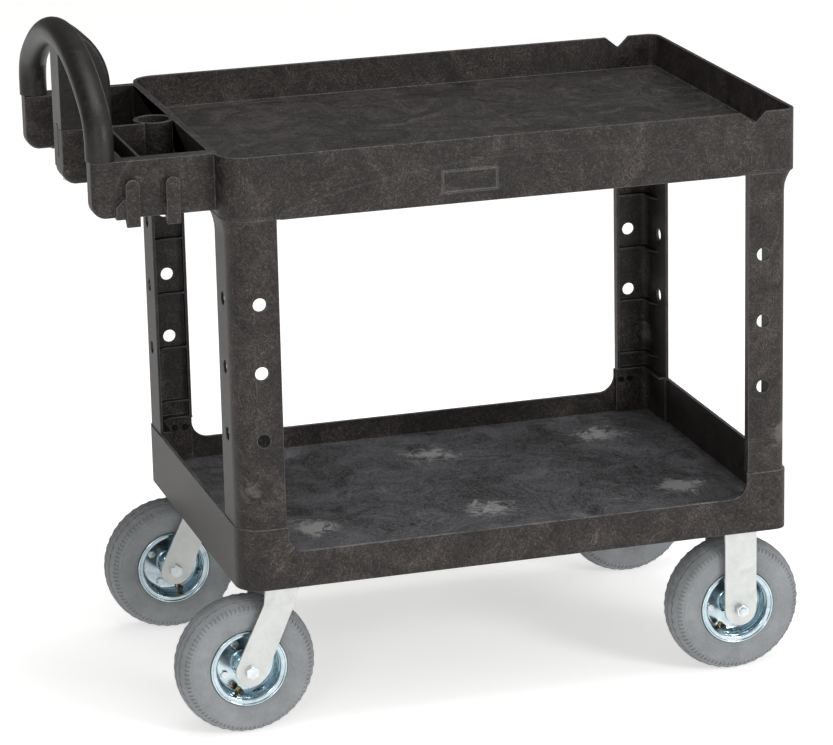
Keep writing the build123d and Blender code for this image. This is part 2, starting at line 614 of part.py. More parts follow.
def arms(points, end_x, end_r, top_points=()):
    """The two arms of a fork, at its inner width."""
    lines = [Line(a, b) for a, b in zip(points, points[1:])]
    flat = make_hull([*lines, *(Pos(end_x, WHEEL_R) * Circle(end_r)).edges()])
    if top_points:
        flat += make_face(Polyline(top_points, close=True))
    both = []
    for side in SIDES.values():
        start = Plane(origin=(0, side * FORK_IN, 0), x_dir=(1, 0, 0), z_dir=(0, -1, 0))
        both.append(extrude(start * flat, amount=FORK_T, dir=(0, side, 0)))
    return both


def raceway(z, outer_r):
    """Ring of a ball race between two heights, grooved for the balls."""
    body = rod(outer_r, (0, 0, z[0]), (0, 0, z[1]))
    body -= rod(BALL_PITCH_R - RACE_IN, (0, 0, z[0] - 1), (0, 0, z[1] + 1))
    groove = Pos(0, 0, BALL_Z) * Torus(BALL_PITCH_R, BALL_R + 0.1)
    return body - groove


def swivel_top_plate():
    """Mounting plate with the upper ball race."""
    body = mounting_plate()
    body += raceway((BALL_Z + RACE_GAP / 2, PLATE_TOP_Z - PLATE[2]), BALL_PITCH_R + UPPER_RACE_OUT)
    return body - rod(KINGPIN_R + RUNNING, (0, 0, CROWN_Z[0]), (0, 0, PLATE_TOP_Z + 1))


def kingpin():
    """Pivot pin of the swivel with its nut and washer, held in the top plate."""
    low, nut_low, nut_high = KINGPIN_Z
    pin = rod(KINGPIN_R, (0, 0, low), (0, 0, PLATE_TOP_Z - 0.1))
    pin += hexagon(KINGPIN_AF, (0, 0, nut_low), (0, 0, nut_high))
    return pin + rod(KINGPIN_WASHER_R, (0, 0, nut_high - 0.5), (0, 0, CROWN_Z[0] - 0.3))


def balls():
    """Ring of bearing balls between the two races."""
    ring_of_balls = []
    for i in range(BALL_COUNT):
        angle = radians(360 / BALL_COUNT * i)
        place = Pos(BALL_PITCH_R * cos(angle), BALL_PITCH_R * sin(angle), BALL_Z)
        ring_of_balls.append(place * Sphere(BALL_R))
    return ring_of_balls


def swivel_fork():
    """Leaning two-arm fork with its crown and the lower ball race, swivel axis on X = Y = 0."""
    half = FORK_IN + FORK_T
    back, front = CROWN_X
    lower_back, lower_front = ARM_ROOT
    hull = [lower_back, (back, lower_back[1] + 3), (lower_front[0] - 4, lower_back[1] + 3), lower_front]
    top = [lower_back, (back, CROWN_Z[1]), (front, CROWN_Z[1]), lower_front]
    left, right = arms(hull, -TRAIL, FORK_END_R, top)
    crown = block(CROWN_X, (-half, half), CROWN_Z) + rod(CROWN_R, (0, 0, CROWN_Z[0]), (0, 0, CROWN_Z[1]))
    body = left + right + crown
    body += raceway((CROWN_Z[1] - 0.1, BALL_Z - RACE_GAP / 2), BALL_PITCH_R + LOWER_RACE_OUT)
    body -= rod(KINGPIN_R + RUNNING, (0, 0, CROWN_Z[0] - 1), (0, 0, CROWN_Z[1] + 1))
    return body - rod(AXLE_R + RUNNING, (-TRAIL, -half - 1, WHEEL_R), (-TRAIL, half + 1, WHEEL_R))


def rigid_fork():
    """Upright two-arm fork welded under its mounting plate, axle on X = 0."""
    half = FORK_IN + FORK_T
    top_z = PLATE_TOP_Z - PLATE[2]
    wide = RIGID_END_R
    outline = [(-wide, RIGID_ROOT_Z), (-wide, top_z), (wide, top_z), (wide, RIGID_ROOT_Z)]
    left, right = arms(outline, 0, RIGID_END_R)
    body = mounting_plate() + left + right + block((-wide, wide), (-half, half), (top_z - 6, top_z))
    return body - rod(AXLE_R + RUNNING, (0, -half - 1, WHEEL_R), (0, half + 1, WHEEL_R))


def axle_bolt(head_side):
    """Axle bolt along Y through the fork, its head on one side."""
    half = FORK_IN + FORK_T
    seat, crown = head_side * (half + 0.05), head_side * (half + AXLE_HEAD)
    head = hexagon(AXLE_AF, (0, seat, WHEEL_R), (0, crown, WHEEL_R))
    tail = -head_side * (half + AXLE_END)
    return head + rod(AXLE_R, (0, head_side * (half + 1), WHEEL_R), (0, tail, WHEEL_R))


def axle_nut(head_side):
    """Lock nut on the axle bolt's threaded end."""
    half = FORK_IN + FORK_T
    near, far, past = [-head_side * (half + reach) for reach in (0.05, AXLE_NUT, AXLE_END)]
    nut = hexagon(AXLE_AF, (0, near, WHEEL_R), (0, far, WHEEL_R))
    return nut - rod(AXLE_R + RUNNING, (0, 0, WHEEL_R), (0, past, WHEEL_R))


def axle_spacers():
    """Two tubes that centre the hub between the fork arms."""
    tubes = []
    for side in SIDES.values():
        inner, outer = (0, side * (HUB_HALF + 0.3), WHEEL_R), (0, side * (FORK_IN - 0.05), WHEEL_R)
        tubes.append(rod(SPACER_R, inner, outer) - rod(AXLE_R + RUNNING, inner, outer))
    return tubes


# ================================================================ wheel, axis on X = Z = 0
def tyre():
    """Pneumatic tyre: round crown, bulging side walls, beads that sit inside the rim flanges."""
    bead_y, bead_r = RIM_BEAD_Y - 0.3, RIM_SEAT_R + 0.3
    tip, shoulder, wide = (RIM_R + 1.3, 31.0), TYRE_SHOULDER, (TUBE_R + 1, TYRE_HALF)
    outline = [ThreePointArc(shoulder, (WHEEL_R, 0), (shoulder[0], -shoulder[1])),
               ThreePointArc((shoulder[0], -shoulder[1]), (wide[0], -wide[1]), (tip[0], -tip[1])),
               Polyline((tip[0], -tip[1]), (RIM_R + 0.4, -bead_y), (bead_r, -bead_y), (bead_r, bead_y),
                        (RIM_R + 0.4, bead_y), tip),
               ThreePointArc(tip, wide, shoulder)]
    section = make_face(outline)
    section -= Pos(TUBE_R, 0) * Ellipse(TUBE_HALF[0] + 0.3, TUBE_HALF[1] + 0.3)
    section -= Pos(bead_r, 0) * Rectangle(*BEAD_MOUTH)
    return revolve(section, Axis.Y)


def inner_tube():
    """Inner tube with its bent valve stem."""
    outer, inner = TUBE_HALF, [half - TUBE_T for half in TUBE_HALF]
    section = Pos(TUBE_R, 0) * Ellipse(*outer) - Pos(TUBE_R, 0) * Ellipse(*inner)
    body = revolve(section, Axis.Y)
    low, high = VALVE_Y
    body += rod(VALVE_R, (TUBE_R - TUBE_HALF[0] + 1.7, -low, 0), (VALVE_PITCH_R, -low, 0))
    body += rod(VALVE_R, (VALVE_PITCH_R, -low + VALVE_R, 0), (VALVE_PITCH_R, -high, 0))
    return body


def rim_bolt_angles():
    """Angles of the clamping bolts about the wheel's axis."""
    step = 360 / RIM_BOLTS
    return [step / 2 + step * i for i in range(RIM_BOLTS)]


def rim_half(side):
    """One pressed half of the split rim: disc, bead seat, flange and rolled lip."""
    edge = RIM_SEAT_R - RIM_T
    inner, outer, lip = RIM_BEAD_Y, RIM_BEAD_Y + RIM_T, RIM_LIP_Y
    points = [(0.1, RIM_BORE_R), (0.1, RIM_SEAT_R), (inner, RIM_SEAT_R), (inner, RIM_R), (lip, RIM_R),
              (lip, RIM_R - RIM_T), (outer, RIM_R - RIM_T), (outer, edge), (RIM_T + 0.1, edge),
              (RIM_T + 0.1, RIM_BORE_R)]
    body = ring([(side * y, r) for y, r in points])
    hole = rod(RIM_BOLT_R + 0.1, (RIM_BOLT_PITCH_R, -5, 0), (RIM_BOLT_PITCH_R, 5, 0))
    for angle in rim_bolt_angles():
        body -= Rot(0, angle, 0) * hole
    if side < 0:
        body -= rod(VALVE_R + 0.5, (RIM_R, -VALVE_Y[0], 0), (VALVE_PITCH_R + 4, -VALVE_Y[0], 0))
    return body


def hub():
    """Turned hub with a domed collar between the rim halves and a pocket for each bearing."""
    collar = RIM_BORE_R - 0.2
    pocket = HUB_HALF - BEARING_W
    cone, barrel = HUB_CONE_Y
    half = [(0, collar), (cone, collar), (barrel, HUB_R), (HUB_HALF, HUB_R), (HUB_HALF, BEARING_R + 0.02),
            (pocket, BEARING_R + 0.02), (pocket, HUB_BORE_R), (0, HUB_BORE_R)]
    mirrored = [(-y, r) for y, r in reversed(half[1:-1])]
    return ring(half + mirrored)


def bearings():
    """Ball bearings of the hub, one at each end."""
    inner = AXLE_R + RUNNING
    rings = []
    for side in SIDES.values():
        low, high = side * (HUB_HALF - BEARING_W + 0.05), side * HUB_HALF
        ends = (0, low, 0), (0, high, 0)
        rings.append(rod(BEARING_R, *ends) - rod(inner, *ends))
    return rings


def rim_bolts():
    """Bolts and nuts that clamp the two rim halves, as one group."""
    group = []
    face = RIM_T + 0.15
    end = face + RIM_NUT + 3
    for angle in rim_bolt_angles():
        turn = Rot(0, angle, 0) * Pos(RIM_BOLT_PITCH_R, 0, 0)
        bolt = rod(RIM_BOLT_R, (0, -face, 0), (0, end, 0))
        bolt += hexagon(RIM_BOLT_AF, (0, -face - RIM_BOLT_HEAD, 0), (0, -face, 0))
        nut = hexagon(RIM_BOLT_AF, (0, face, 0), (0, face + RIM_NUT, 0))
        nut -= rod(RIM_BOLT_R + RUNNING, (0, 0, 0), (0, end, 0))
        group += [turn * bolt, turn * nut]
    return group


def wheel(name, x, y):
    """All pieces of one wheel, turned about its axle and set on the floor."""
    place = Pos(x, y, WHEEL_R) * Rot(0, WHEEL_TURNS[name], 0)
    pieces = {"tyre": tyre(), "inner_tube": inner_tube(), "rim_outer": rim_half(-1), "rim_inner": rim_half(1),
              "hub": hub(), "bearings": bearings(), "rim_bolts": rim_bolts()}
    return {f"{piece}_{name}": moved(shape, place) for piece, shape in pieces.items()}


# ================================================================ assembly
def moved(shape, place):
    """Place a solid, or each solid of a group."""
    if isinstance(shape, list):
        return [place * solid for solid in shape]
    return place * shape


def build_all():
    """Every node of the cart by name."""
    nodes = {"top_shelf": top_shelf(), "bottom_shelf": bottom_shelf(), "handle": handle(),
             "handle_screws": handle_screws(), "leg_screws": leg_screws(), "caster_bolts": caster_bolts(),
             "caster_inserts": caster_inserts()}
    for end, end_name in enumerate(("rear", "front")):
        right_leg = leg(end, SIDES["right"])
        nodes[f"leg_{end_name}_right"] = right_leg
        nodes[f"leg_{end_name}_left"] = mirror(right_leg, about=Plane.XZ)
    rigid = {"rigid_axle_bolts": [], "rigid_axle_nuts": [], "rigid_axle_spacers": []}
    for side_name, side in SIDES.items():
        at = Pos(RIGID_X, side * CASTER_Y, 0)
        nodes[f"rigid_fork_{side_name}"] = at * rigid_fork()
        rigid["rigid_axle_bolts"].append(at * axle_bolt(1))
        rigid["rigid_axle_nuts"].append(at * axle_nut(1))
        rigid["rigid_axle_spacers"] += moved(axle_spacers(), at)
        nodes.update(wheel(f"front_{side_name}", RIGID_X, side * CASTER_Y))
        at = Pos(SWIVEL_X, side * CASTER_Y, 0)
        axle = Pos(SWIVEL_X - TRAIL, side * CASTER_Y, 0)
        nodes[f"swivel_top_plate_{side_name}"] = at * swivel_top_plate()
        nodes[f"kingpin_{side_name}"] = at * kingpin()
        nodes[f"swivel_fork_{side_name}"] = at * swivel_fork()
        nodes[f"swivel_balls_{side_name}"] = moved(balls(), at)
        nodes[f"swivel_axle_bolt_{side_name}"] = axle * axle_bolt(-1)
        nodes[f"swivel_axle_nut_{side_name}"] = axle * axle_nut(-1)
        nodes[f"swivel_axle_spacers_{side_name}"] = moved(axle_spacers(), axle)
        nodes.update(wheel(f"rear_{side_name}", SWIVEL_X - TRAIL, side * CASTER_Y))
    nodes.update(rigid)
    return nodes


os.makedirs("parts", exist_ok=True)
for node_name, node_shape in build_all().items():
    solids = node_shape if isinstance(node_shape, list) else node_shape.solids()
    centred = [Pos(-MIDDLE_X, 0, 0) * solid for solid in solids]
    export_step(Compound(children=centred), f"parts/{node_name}.step")
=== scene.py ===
import json
import logging
import math
from dataclasses import dataclass
from enum import Enum
from typing import Any, Callable

import bpy
from mathutils import Matrix, Vector
from mathutils.bvhtree import BVHTree

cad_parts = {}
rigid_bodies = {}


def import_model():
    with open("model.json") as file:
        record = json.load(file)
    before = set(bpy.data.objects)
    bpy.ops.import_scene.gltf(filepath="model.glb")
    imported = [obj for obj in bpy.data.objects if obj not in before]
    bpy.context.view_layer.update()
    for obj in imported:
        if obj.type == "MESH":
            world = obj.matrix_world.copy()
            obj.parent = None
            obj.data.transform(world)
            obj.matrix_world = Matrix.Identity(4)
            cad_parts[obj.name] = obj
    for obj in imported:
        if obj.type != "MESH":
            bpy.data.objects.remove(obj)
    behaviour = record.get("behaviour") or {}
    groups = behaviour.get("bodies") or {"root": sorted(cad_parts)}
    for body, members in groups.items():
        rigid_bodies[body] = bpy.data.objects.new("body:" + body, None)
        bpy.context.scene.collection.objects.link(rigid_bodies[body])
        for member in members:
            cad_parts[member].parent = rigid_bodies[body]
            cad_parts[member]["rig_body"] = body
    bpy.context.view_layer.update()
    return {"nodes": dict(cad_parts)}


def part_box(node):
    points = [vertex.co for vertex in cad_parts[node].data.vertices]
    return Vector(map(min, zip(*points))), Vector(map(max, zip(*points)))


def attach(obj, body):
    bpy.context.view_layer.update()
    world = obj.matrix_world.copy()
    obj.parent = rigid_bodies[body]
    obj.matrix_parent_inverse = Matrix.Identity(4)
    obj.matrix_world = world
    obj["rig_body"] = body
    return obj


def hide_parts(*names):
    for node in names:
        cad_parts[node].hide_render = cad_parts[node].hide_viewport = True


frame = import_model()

# The looks of a two-shelf utility cart: structural-foam trays and legs, a grained handle, grey
# pneumatic tyres on bright zinc rims, and dull zinc forks. Lengths are metres, except that the
# sections of wheels, valves and threads are drawn in millimetres.
MM = 0.001
SIDES = ("right", "left")
ENDS = ("rear", "front")
# where the plastic went in: height and places on the bottom tray's floor, height over a leg's foot,
# and distance in from a leg's outer edge
TRAY_FLOOR = 0.270
TRAY_GATES = ((0.392, 0.199), (0.087, 0.188), (0.091, -0.114), (-0.202, -0.111), (0.425, -0.112))
LOWEST_HOLE = 0.142
GATE_IN = {"rear": 0.018, "front": 0.022}
LOG = logging.getLogger("cart")


class Slot(Enum):
    """Material slots of the record."""

    FOAM = "foam_plastic"
    HANDLE = "handle_plastic"
    TYRE = "tyre_rubber"
    TUBE = "tube_rubber"
    RIM = "rim_zinc"
    FORK = "fork_zinc"
    FASTENER = "fastener_zinc"
    BEARING = "bearing_steel"


# ---------------------------------------------------------------- node and mesh helpers
def linear(colour: str) -> tuple[float, float, float, float]:
    """Turns an sRGB hex colour to linear light.

    Args:
        colour: Six hex digits after a hash.

    Returns:
        Red, green, blue and alpha, each from 0 to 1.
    """
    channels = [int(colour[i:i + 2], 16) / 255 for i in (1, 3, 5)]
    red, green, blue = [c / 12.92 if c <= 0.04045 else ((c + 0.055) / 1.055) ** 2.4 for c in channels]
    return red, green, blue, 1.0


def add(tree: bpy.types.NodeTree, kind: str, inputs: dict[Any, Any], stops: tuple = (),
        **settings: Any) -> Any:
    """Adds a node with its settings, its values and its links.

    Args:
        tree: The node tree that the node goes into.
        kind: The node's type.
        inputs: A value or an output socket for each input, by name or index.
        stops: Places and values of a colour ramp.
        settings: Properties of the node itself.

    Returns:
        The new node.
    """
    node = tree.nodes.new(kind)
    for name, value in settings.items():
        setattr(node, name, value)
    for place, value in stops[:-2]:
        node.color_ramp.elements.new(place)
    for element, (place, value) in zip(node.color_ramp.elements if stops else (), stops):
        element.position = place
        element.color = value if isinstance(value, tuple) else (value, value, value, 1.0)
    for key, value in inputs.items():
        if isinstance(value, bpy.types.NodeSocket):
            tree.links.new(value, node.inputs[key])
        else:
            node.inputs[key].default_value = value
    return node


def alone(piece: bpy.types.Object) -> bpy.types.Object:
    """Leaves one object selected and active.

    Args:
        piece: The object.

    Returns:
        The same object.
    """
    if bpy.context.object and bpy.context.object.mode != "OBJECT":
        bpy.ops.object.mode_set(mode="OBJECT")
    bpy.ops.object.select_all(action="DESELECT")
    piece.select_set(True)
    bpy.context.view_layer.objects.active = piece
    return piece


def pick_faces(piece: bpy.types.Object, wanted: Callable[[Vector, Vector], bool]) -> None:
    """Goes into edit mode with only the wanted faces selected.

    Args:
        piece: The mesh object.
        wanted: Test on a face's centre and normal.
    """
    alone(piece)
    bpy.context.tool_settings.mesh_select_mode = (False, False, True)
    bpy.ops.object.mode_set(mode="EDIT")
    bpy.ops.mesh.select_all(action="DESELECT")
    bpy.ops.object.mode_set(mode="OBJECT")
    for face in piece.data.polygons:
        face.select = wanted(face.center, face.normal)
    bpy.ops.object.mode_set(mode="EDIT")


def smooth(piece: bpy.types.Object, degrees: float) -> None:
    """Shades a piece smooth over edges that turn less than an angle."""
    alone(piece)
    bpy.ops.object.shade_smooth_by_angle(angle=math.radians(degrees))


def arc(start: tuple, middle: tuple, end: tuple, count: int) -> list[tuple[float, float]]:
    """Points on the arc through three points, both ends included.

    Args:
        start: First point.
        middle: Any point between.
        end: Last point.
        count: Number of points.

    Returns:
        The points in order.
    """
    (ax, ay), (bx, by), (cx, cy) = start, middle, end
    d = 2 * (ax * (by - cy) + bx * (cy - ay) + cx * (ay - by))
    a2, b2, c2 = ax * ax + ay * ay, bx * bx + by * by, cx * cx + cy * cy
    ux = (a2 * (by - cy) + b2 * (cy - ay) + c2 * (ay - by)) / d
    uy = (a2 * (cx - bx) + b2 * (ax - cx) + c2 * (bx - ax)) / d
    angles = [math.atan2(y - uy, x - ux) for x, y in (start, middle, end)]
    for i in (1, 2):
        while angles[i] - angles[i - 1] > math.pi:
            angles[i] -= 2 * math.pi
        while angles[i] - angles[i - 1] < -math.pi:
            angles[i] += 2 * math.pi
    radius = math.hypot(ax - ux, ay - uy)
    turns = [angles[0] + (angles[2] - angles[0]) * i / (count - 1) for i in range(count)]
    return [(ux + radius * math.cos(turn), uy + radius * math.sin(turn)) for turn in turns]


def spun(name: str, section: list[tuple[float, float]], centre: Vector, steps: int) -> bpy.types.Object:
    """Turns a closed section about an axle that runs along Y.

    Args:
        name: Name of the piece.
        section: Closed outline of (y, radius) points, in millimetres from the centre.
        centre: Point on the axle.
        steps: Steps of the full turn.

    Returns:
        The closed piece.
    """
    bpy.ops.object.select_all(action="DESELECT")
    bpy.ops.mesh.primitive_circle_add(vertices=len(section), fill_type="NOTHING")
    piece = bpy.context.object
    piece.name = name
    for vertex, (y, radius) in zip(piece.data.vertices, section):
        vertex.co = (centre.x, centre.y + y * MM, centre.z + radius * MM)
    bpy.ops.object.mode_set(mode="EDIT")
    bpy.ops.mesh.select_all(action="SELECT")
    bpy.ops.mesh.spin(steps=steps, angle=2 * math.pi, center=centre, axis=(0, 1, 0))
    bpy.ops.mesh.select_all(action="SELECT")
    bpy.ops.mesh.remove_doubles(threshold=0.005 * MM)
    bpy.ops.mesh.normals_make_consistent(inside=False)
    bpy.ops.object.mode_set(mode="OBJECT")
    return piece


def middle(node: str) -> Vector:
    """Middle of a CAD node's box."""
    low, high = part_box(node)
    return (low + high) / 2


def fit(piece: bpy.types.Object, body: str, slot: Slot, finish: bpy.types.Material,
        *nodes: str) -> bpy.types.Object:
    """Dresses a piece, sets it on its body and hides the nodes that it stands for.

    Args:
        piece: The finished mesh.
        body: Body that it rides on.
        slot: Material slot of the record; not used.
        finish: Its material.
        nodes: CAD nodes that it replaces.

    Returns:
        The piece.
    """
    piece.data.materials.clear()
    piece.data.materials.append(finish)
    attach(piece, body)
    if nodes:
        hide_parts(*nodes)
    LOG.info("%s on %s: %d faces", piece.name, body, len(piece.data.polygons))
    return piece


# ---------------------------------------------------------------- finishes
class Finish:
    """Start of every material: its tree, its shader and its object coordinates."""

    def begin(self, name: str) -> tuple[bpy.types.Material, Any, Any, Any]:
        """Makes an empty material.

        Args:
            name: Its name.

        Returns:
            The material, its node tree, its shader node and the object coordinates.
        """
        material = bpy.data.materials.new(name)
        material.use_nodes = True
        tree = material.node_tree
        tree.nodes.clear()
        shader = add(tree, "ShaderNodeBsdfPrincipled", {})
        add(tree, "ShaderNodeOutputMaterial", {"Surface": shader.outputs["BSDF"]})
        where = add(tree, "ShaderNodeTexCoord", {}).outputs["Object"]
        return material, tree, shader, where


@dataclass(frozen=True)
class StructuralFoam(Finish):
    """Structural-foam polyolefin, moulded: charcoal with pale gas swirls, a satin skin and a fine pebble.

    The swirls are gas bubbles that smeared against the mould, so they are lighter and a little
    rougher than the skin, and they burst outwards from the points where the plastic went in.
    Edges carry a painted highlight where the surface turns, and upward faces carry a painted pale bluish
    sheen.
    """

    name: str
    gates: tuple[tuple[float, float, float], ...] = ()
    gate_reach: float = 0.064
    gate_share: float = 0.8
    rib_pitch: tuple[float, float] = (0.126, 0.130)
    rib_start: tuple[float, float] = (-0.203, 0.0)
    floor_lines: bool = False
    # how much painted sheen lies on the upward faces
    floor_sheen_share: float = 0.1
    dark: str = "#110F0E"
    mid: str = "#282422"
    pale: str = "#544D49"
    # pale bluish colour of the painted edge highlights and of the painted sheen on upward faces
    painted_sheen: str = "#8A8B8F"
    # how strong the painted edge highlight is
    edge_highlight_share: float = 0.6
    edge_reach: float = 1.8 * MM
    burst: str = "#8F8A87"

    def build(self) -> bpy.types.Material:
        """Makes the material."""
        material, tree, shader, where = self.begin(self.name)
        # slow drift of the flow, about 150 mm across, which bends every finer pattern
        flow = add(tree, "ShaderNodeTexNoise", {"Vector": where, "Scale": 6.5, "Detail": 3.0,
                                                "Roughness": 0.5})
        drift = add(tree, "ShaderNodeVectorMath", {0: flow.outputs["Color"], 1: (0.16, 0.16, 0.16)},
                    operation="MULTIPLY")
        bent = add(tree, "ShaderNodeVectorMath", {0: where, 1: drift.outputs[0]}, operation="ADD").outputs[0]
        # clouds about 90 mm across
        swirl = add(tree, "ShaderNodeTexNoise", {"Vector": bent, "Scale": 11.0, "Detail": 9.0,
                                                 "Roughness": 0.62, "Distortion": 1.4})
        # wisps about 17 mm long, torn into fine hairs by their detail and distortion
        fibre = add(tree, "ShaderNodeTexNoise", {"Vector": bent, "Scale": 60.0, "Detail": 7.0,
                                                 "Roughness": 0.74, "Distortion": 4.5})
        # specks of about 2 mm, coarser than the real pores so that they show
        speck = add(tree, "ShaderNodeTexNoise", {"Vector": where, "Scale": 520.0, "Detail": 2.0})
        swirl_share = add(tree, "ShaderNodeMapRange", {"Value": swirl.outputs["Fac"], "From Min": 0.28,
                                                       "From Max": 0.76}).outputs[0]
        fibre_share = add(tree, "ShaderNodeMapRange", {"Value": fibre.outputs["Fac"], "From Min": 0.38,
                                                       "From Max": 0.64}).outputs[0]
        speck_share = add(tree, "ShaderNodeMapRange", {"Value": speck.outputs["Fac"], "From Min": 0.32,
                                                       "From Max": 0.7}).outputs[0]
        hair = add(tree, "ShaderNodeMix", {"Factor": 0.45, "A": fibre_share, "B": speck_share}).outputs[0]
        streak = add(tree, "ShaderNodeMix", {"Factor": 0.66, "A": swirl_share, "B": hair}).outputs[0]
        colour = add(tree, "ShaderNodeValToRGB", {"Fac": streak}, stops=(
            (0.2, linear(self.dark)), (0.5, linear(self.mid)), (0.84, linear(self.pale)))).outputs["Color"]
        # painted highlight: paler colour along the edges
        colour = self.painted_edge_highlights(tree, hair, colour)
        if self.floor_lines:
            # painted sheen: upward faces paler and bluish
            colour = self.painted_floor_sheen(tree, swirl_share, hair, colour)
            colour = self.rib_shadows(tree, where, colour)
        rough = add(tree, "ShaderNodeMapRange", {"Value": streak, "To Min": 0.36, "To Max": 0.58}).outputs[0]
        if self.gates:
            share = self.bursts(tree, where, bent)
            colour = add(tree, "ShaderNodeMix", {0: share, 6: colour, 7: linear(self.burst)},
                         data_type="RGBA").outputs[2]
        # pebble of the mould, 1.2 mm, over the low relief of the streaks
        pebble = add(tree, "ShaderNodeTexNoise", {"Vector": where, "Scale": 820.0, "Detail": 2.0})
        low = add(tree, "ShaderNodeBump", {"Height": streak, "Strength": 0.5, "Distance": 0.7 * MM})
        bump = add(tree, "ShaderNodeBump", {"Height": pebble.outputs["Fac"], "Strength": 0.45,
                                            "Distance": 0.16 * MM, "Normal": low.outputs[0]})
        shader.inputs["IOR"].default_value = 1.49
        shader.inputs["Specular IOR Level"].default_value = 0.24
        tree.links.new(colour, shader.inputs["Base Color"])
        tree.links.new(rough, shader.inputs["Roughness"])
        tree.links.new(bump.outputs[0], shader.inputs["Normal"])
        return material

    def bursts(self, tree: Any, where: Any, bent: Any) -> Any:
        """Ragged pale stars round the injection points.

        Args:
            tree: The node tree.
            where: Object coordinates.
            bent: Coordinates along the flow.

        Returns:
            How much of the pale colour shows.
        """
        ragged = add(tree, "ShaderNodeTexNoise", {"Vector": bent, "Scale": 42.0, "Detail": 7.0,
                                                  "Roughness": 0.72, "Distortion": 0.8}).outputs["Fac"]
        total, reach = None, self.gate_reach
        for gate in self.gates:
            away = add(tree, "ShaderNodeVectorMath", {0: where, 1: gate},
                       operation="DISTANCE").outputs["Value"]
            torn = add(tree, "ShaderNodeMath", {0: ragged, 1: 2.6 * reach, 2: away},
                       operation="MULTIPLY_ADD").outputs[0]
            star = add(tree, "ShaderNodeMapRange", {"Value": torn, "From Min": 1.5 * reach,
                                                    "From Max": 1.95 * reach, "To Min": self.gate_share,
                                                    "To Max": 0.0}).outputs[0]
            total = star if total is None else add(tree, "ShaderNodeMath", {0: total, 1: star},
                                                   operation="MAXIMUM").outputs[0]
        return total

    def painted_edge_highlights(self, tree: Any, hair: Any, colour: Any) -> Any:
        """Painted edge highlight: paler colour where the surface turns within a few millimetres.

        Args:
            tree: The node tree.
            hair: Fine streaks that break the painted highlight up.
            colour: Colour of the skin.

        Returns:
            The colour with its painted edge highlights.
        """
        # where the eased surface turns, the colour is painted paler as a highlight
        rounded = add(tree, "ShaderNodeBevel", {"Radius": self.edge_reach}, samples=4).outputs[0]
        true = add(tree, "ShaderNodeNewGeometry", {}).outputs["Normal"]
        same = add(tree, "ShaderNodeVectorMath", {0: rounded, 1: true},
                   operation="DOT_PRODUCT").outputs["Value"]
        turned = add(tree, "ShaderNodeMapRange", {"Value": same, "From Min": 0.995, "From Max": 0.9,
                                                  "To Min": 0.0, "To Max": self.edge_highlight_share}).outputs[0]
        broken = add(tree, "ShaderNodeMapRange", {"Value": hair, "To Min": 0.45, "To Max": 1.0}).outputs[0]
        share = add(tree, "ShaderNodeMath", {0: turned, 1: broken}, operation="MULTIPLY").outputs[0]
        return add(tree, "ShaderNodeMix", {0: share, 6: colour, 7: linear(self.painted_sheen)},
                   data_type="RGBA").outputs[2]

    def painted_floor_sheen(self, tree: Any, cloud: Any, hair: Any, colour: Any) -> Any:
        """Painted sheen: a pale bluish colour on the upward faces, broken into clouds.

        Args:
            tree: The node tree.
            cloud: Where the painted sheen lies thicker.
            hair: Fine streaks that break it up.
            colour: Colour of the skin.

        Returns:
            The colour with its painted sheen.
        """
        facing = add(tree, "ShaderNodeNewGeometry", {}).outputs["Normal"]
        up = add(tree, "ShaderNodeSeparateXYZ", {0: facing})
        # only the upward faces take the painted sheen
        flat = add(tree, "ShaderNodeMapRange", {"Value": up.outputs[2], "From Min": 0.8,
                                                "From Max": 0.97}).outputs[0]
        broken = add(tree, "ShaderNodeMix", {"Factor": 0.6, "A": cloud, "B": hair}).outputs[0]
        sheen_strength = add(tree, "ShaderNodeMapRange", {"Value": broken, "From Min": 0.2, "From Max": 0.8,
                                                 "To Max": self.floor_sheen_share}).outputs[0]
        share = add(tree, "ShaderNodeMath", {0: flat, 1: sheen_strength}, operation="MULTIPLY").outputs[0]
        return add(tree, "ShaderNodeMix", {0: share, 6: colour, 7: linear(self.painted_sheen)},
                   data_type="RGBA").outputs[2]

    def rib_shadows(self, tree: Any, where: Any, colour: Any) -> Any:
        """Faint sink lines over the ribs under a floor.

        Args:
            tree: The node tree.
            where: Object coordinates.
            colour: Colour of the skin.

        Returns:
            The colour with its lines.
        """
        parts = add(tree, "ShaderNodeSeparateXYZ", {0: where})
        lines = []
        for axis, pitch, start in zip((0, 1), self.rib_pitch, self.rib_start):
            near = add(tree, "ShaderNodeMath", {0: parts.outputs[axis], 1: start},
                       operation="SUBTRACT").outputs[0]
            near = add(tree, "ShaderNodeMath", {0: near, 1: pitch / 2}, operation="PINGPONG").outputs[0]
            lines.append(add(tree, "ShaderNodeMapRange", {"Value": near, "From Min": 0.0008,
                                                          "From Max": 0.004, "To Min": 1.0,
                                                          "To Max": 0.0}).outputs[0])
        grid = add(tree, "ShaderNodeMath", {0: lines[0], 1: lines[1]}, operation="MAXIMUM").outputs[0]
        facing = add(tree, "ShaderNodeNewGeometry", {}).outputs["Normal"]
        up = add(tree, "ShaderNodeSeparateXYZ", {0: facing})
        share = add(tree, "ShaderNodeMath", {0: grid, 1: up.outputs[2]}, operation="MULTIPLY",
                    use_clamp=True)
        faint = add(tree, "ShaderNodeMath", {0: share.outputs[0], 1: 0.12}, operation="MULTIPLY").outputs[0]
        return add(tree, "ShaderNodeMix", {0: faint, 6: colour, 7: linear(self.pale)},
                   data_type="RGBA").outputs[2]


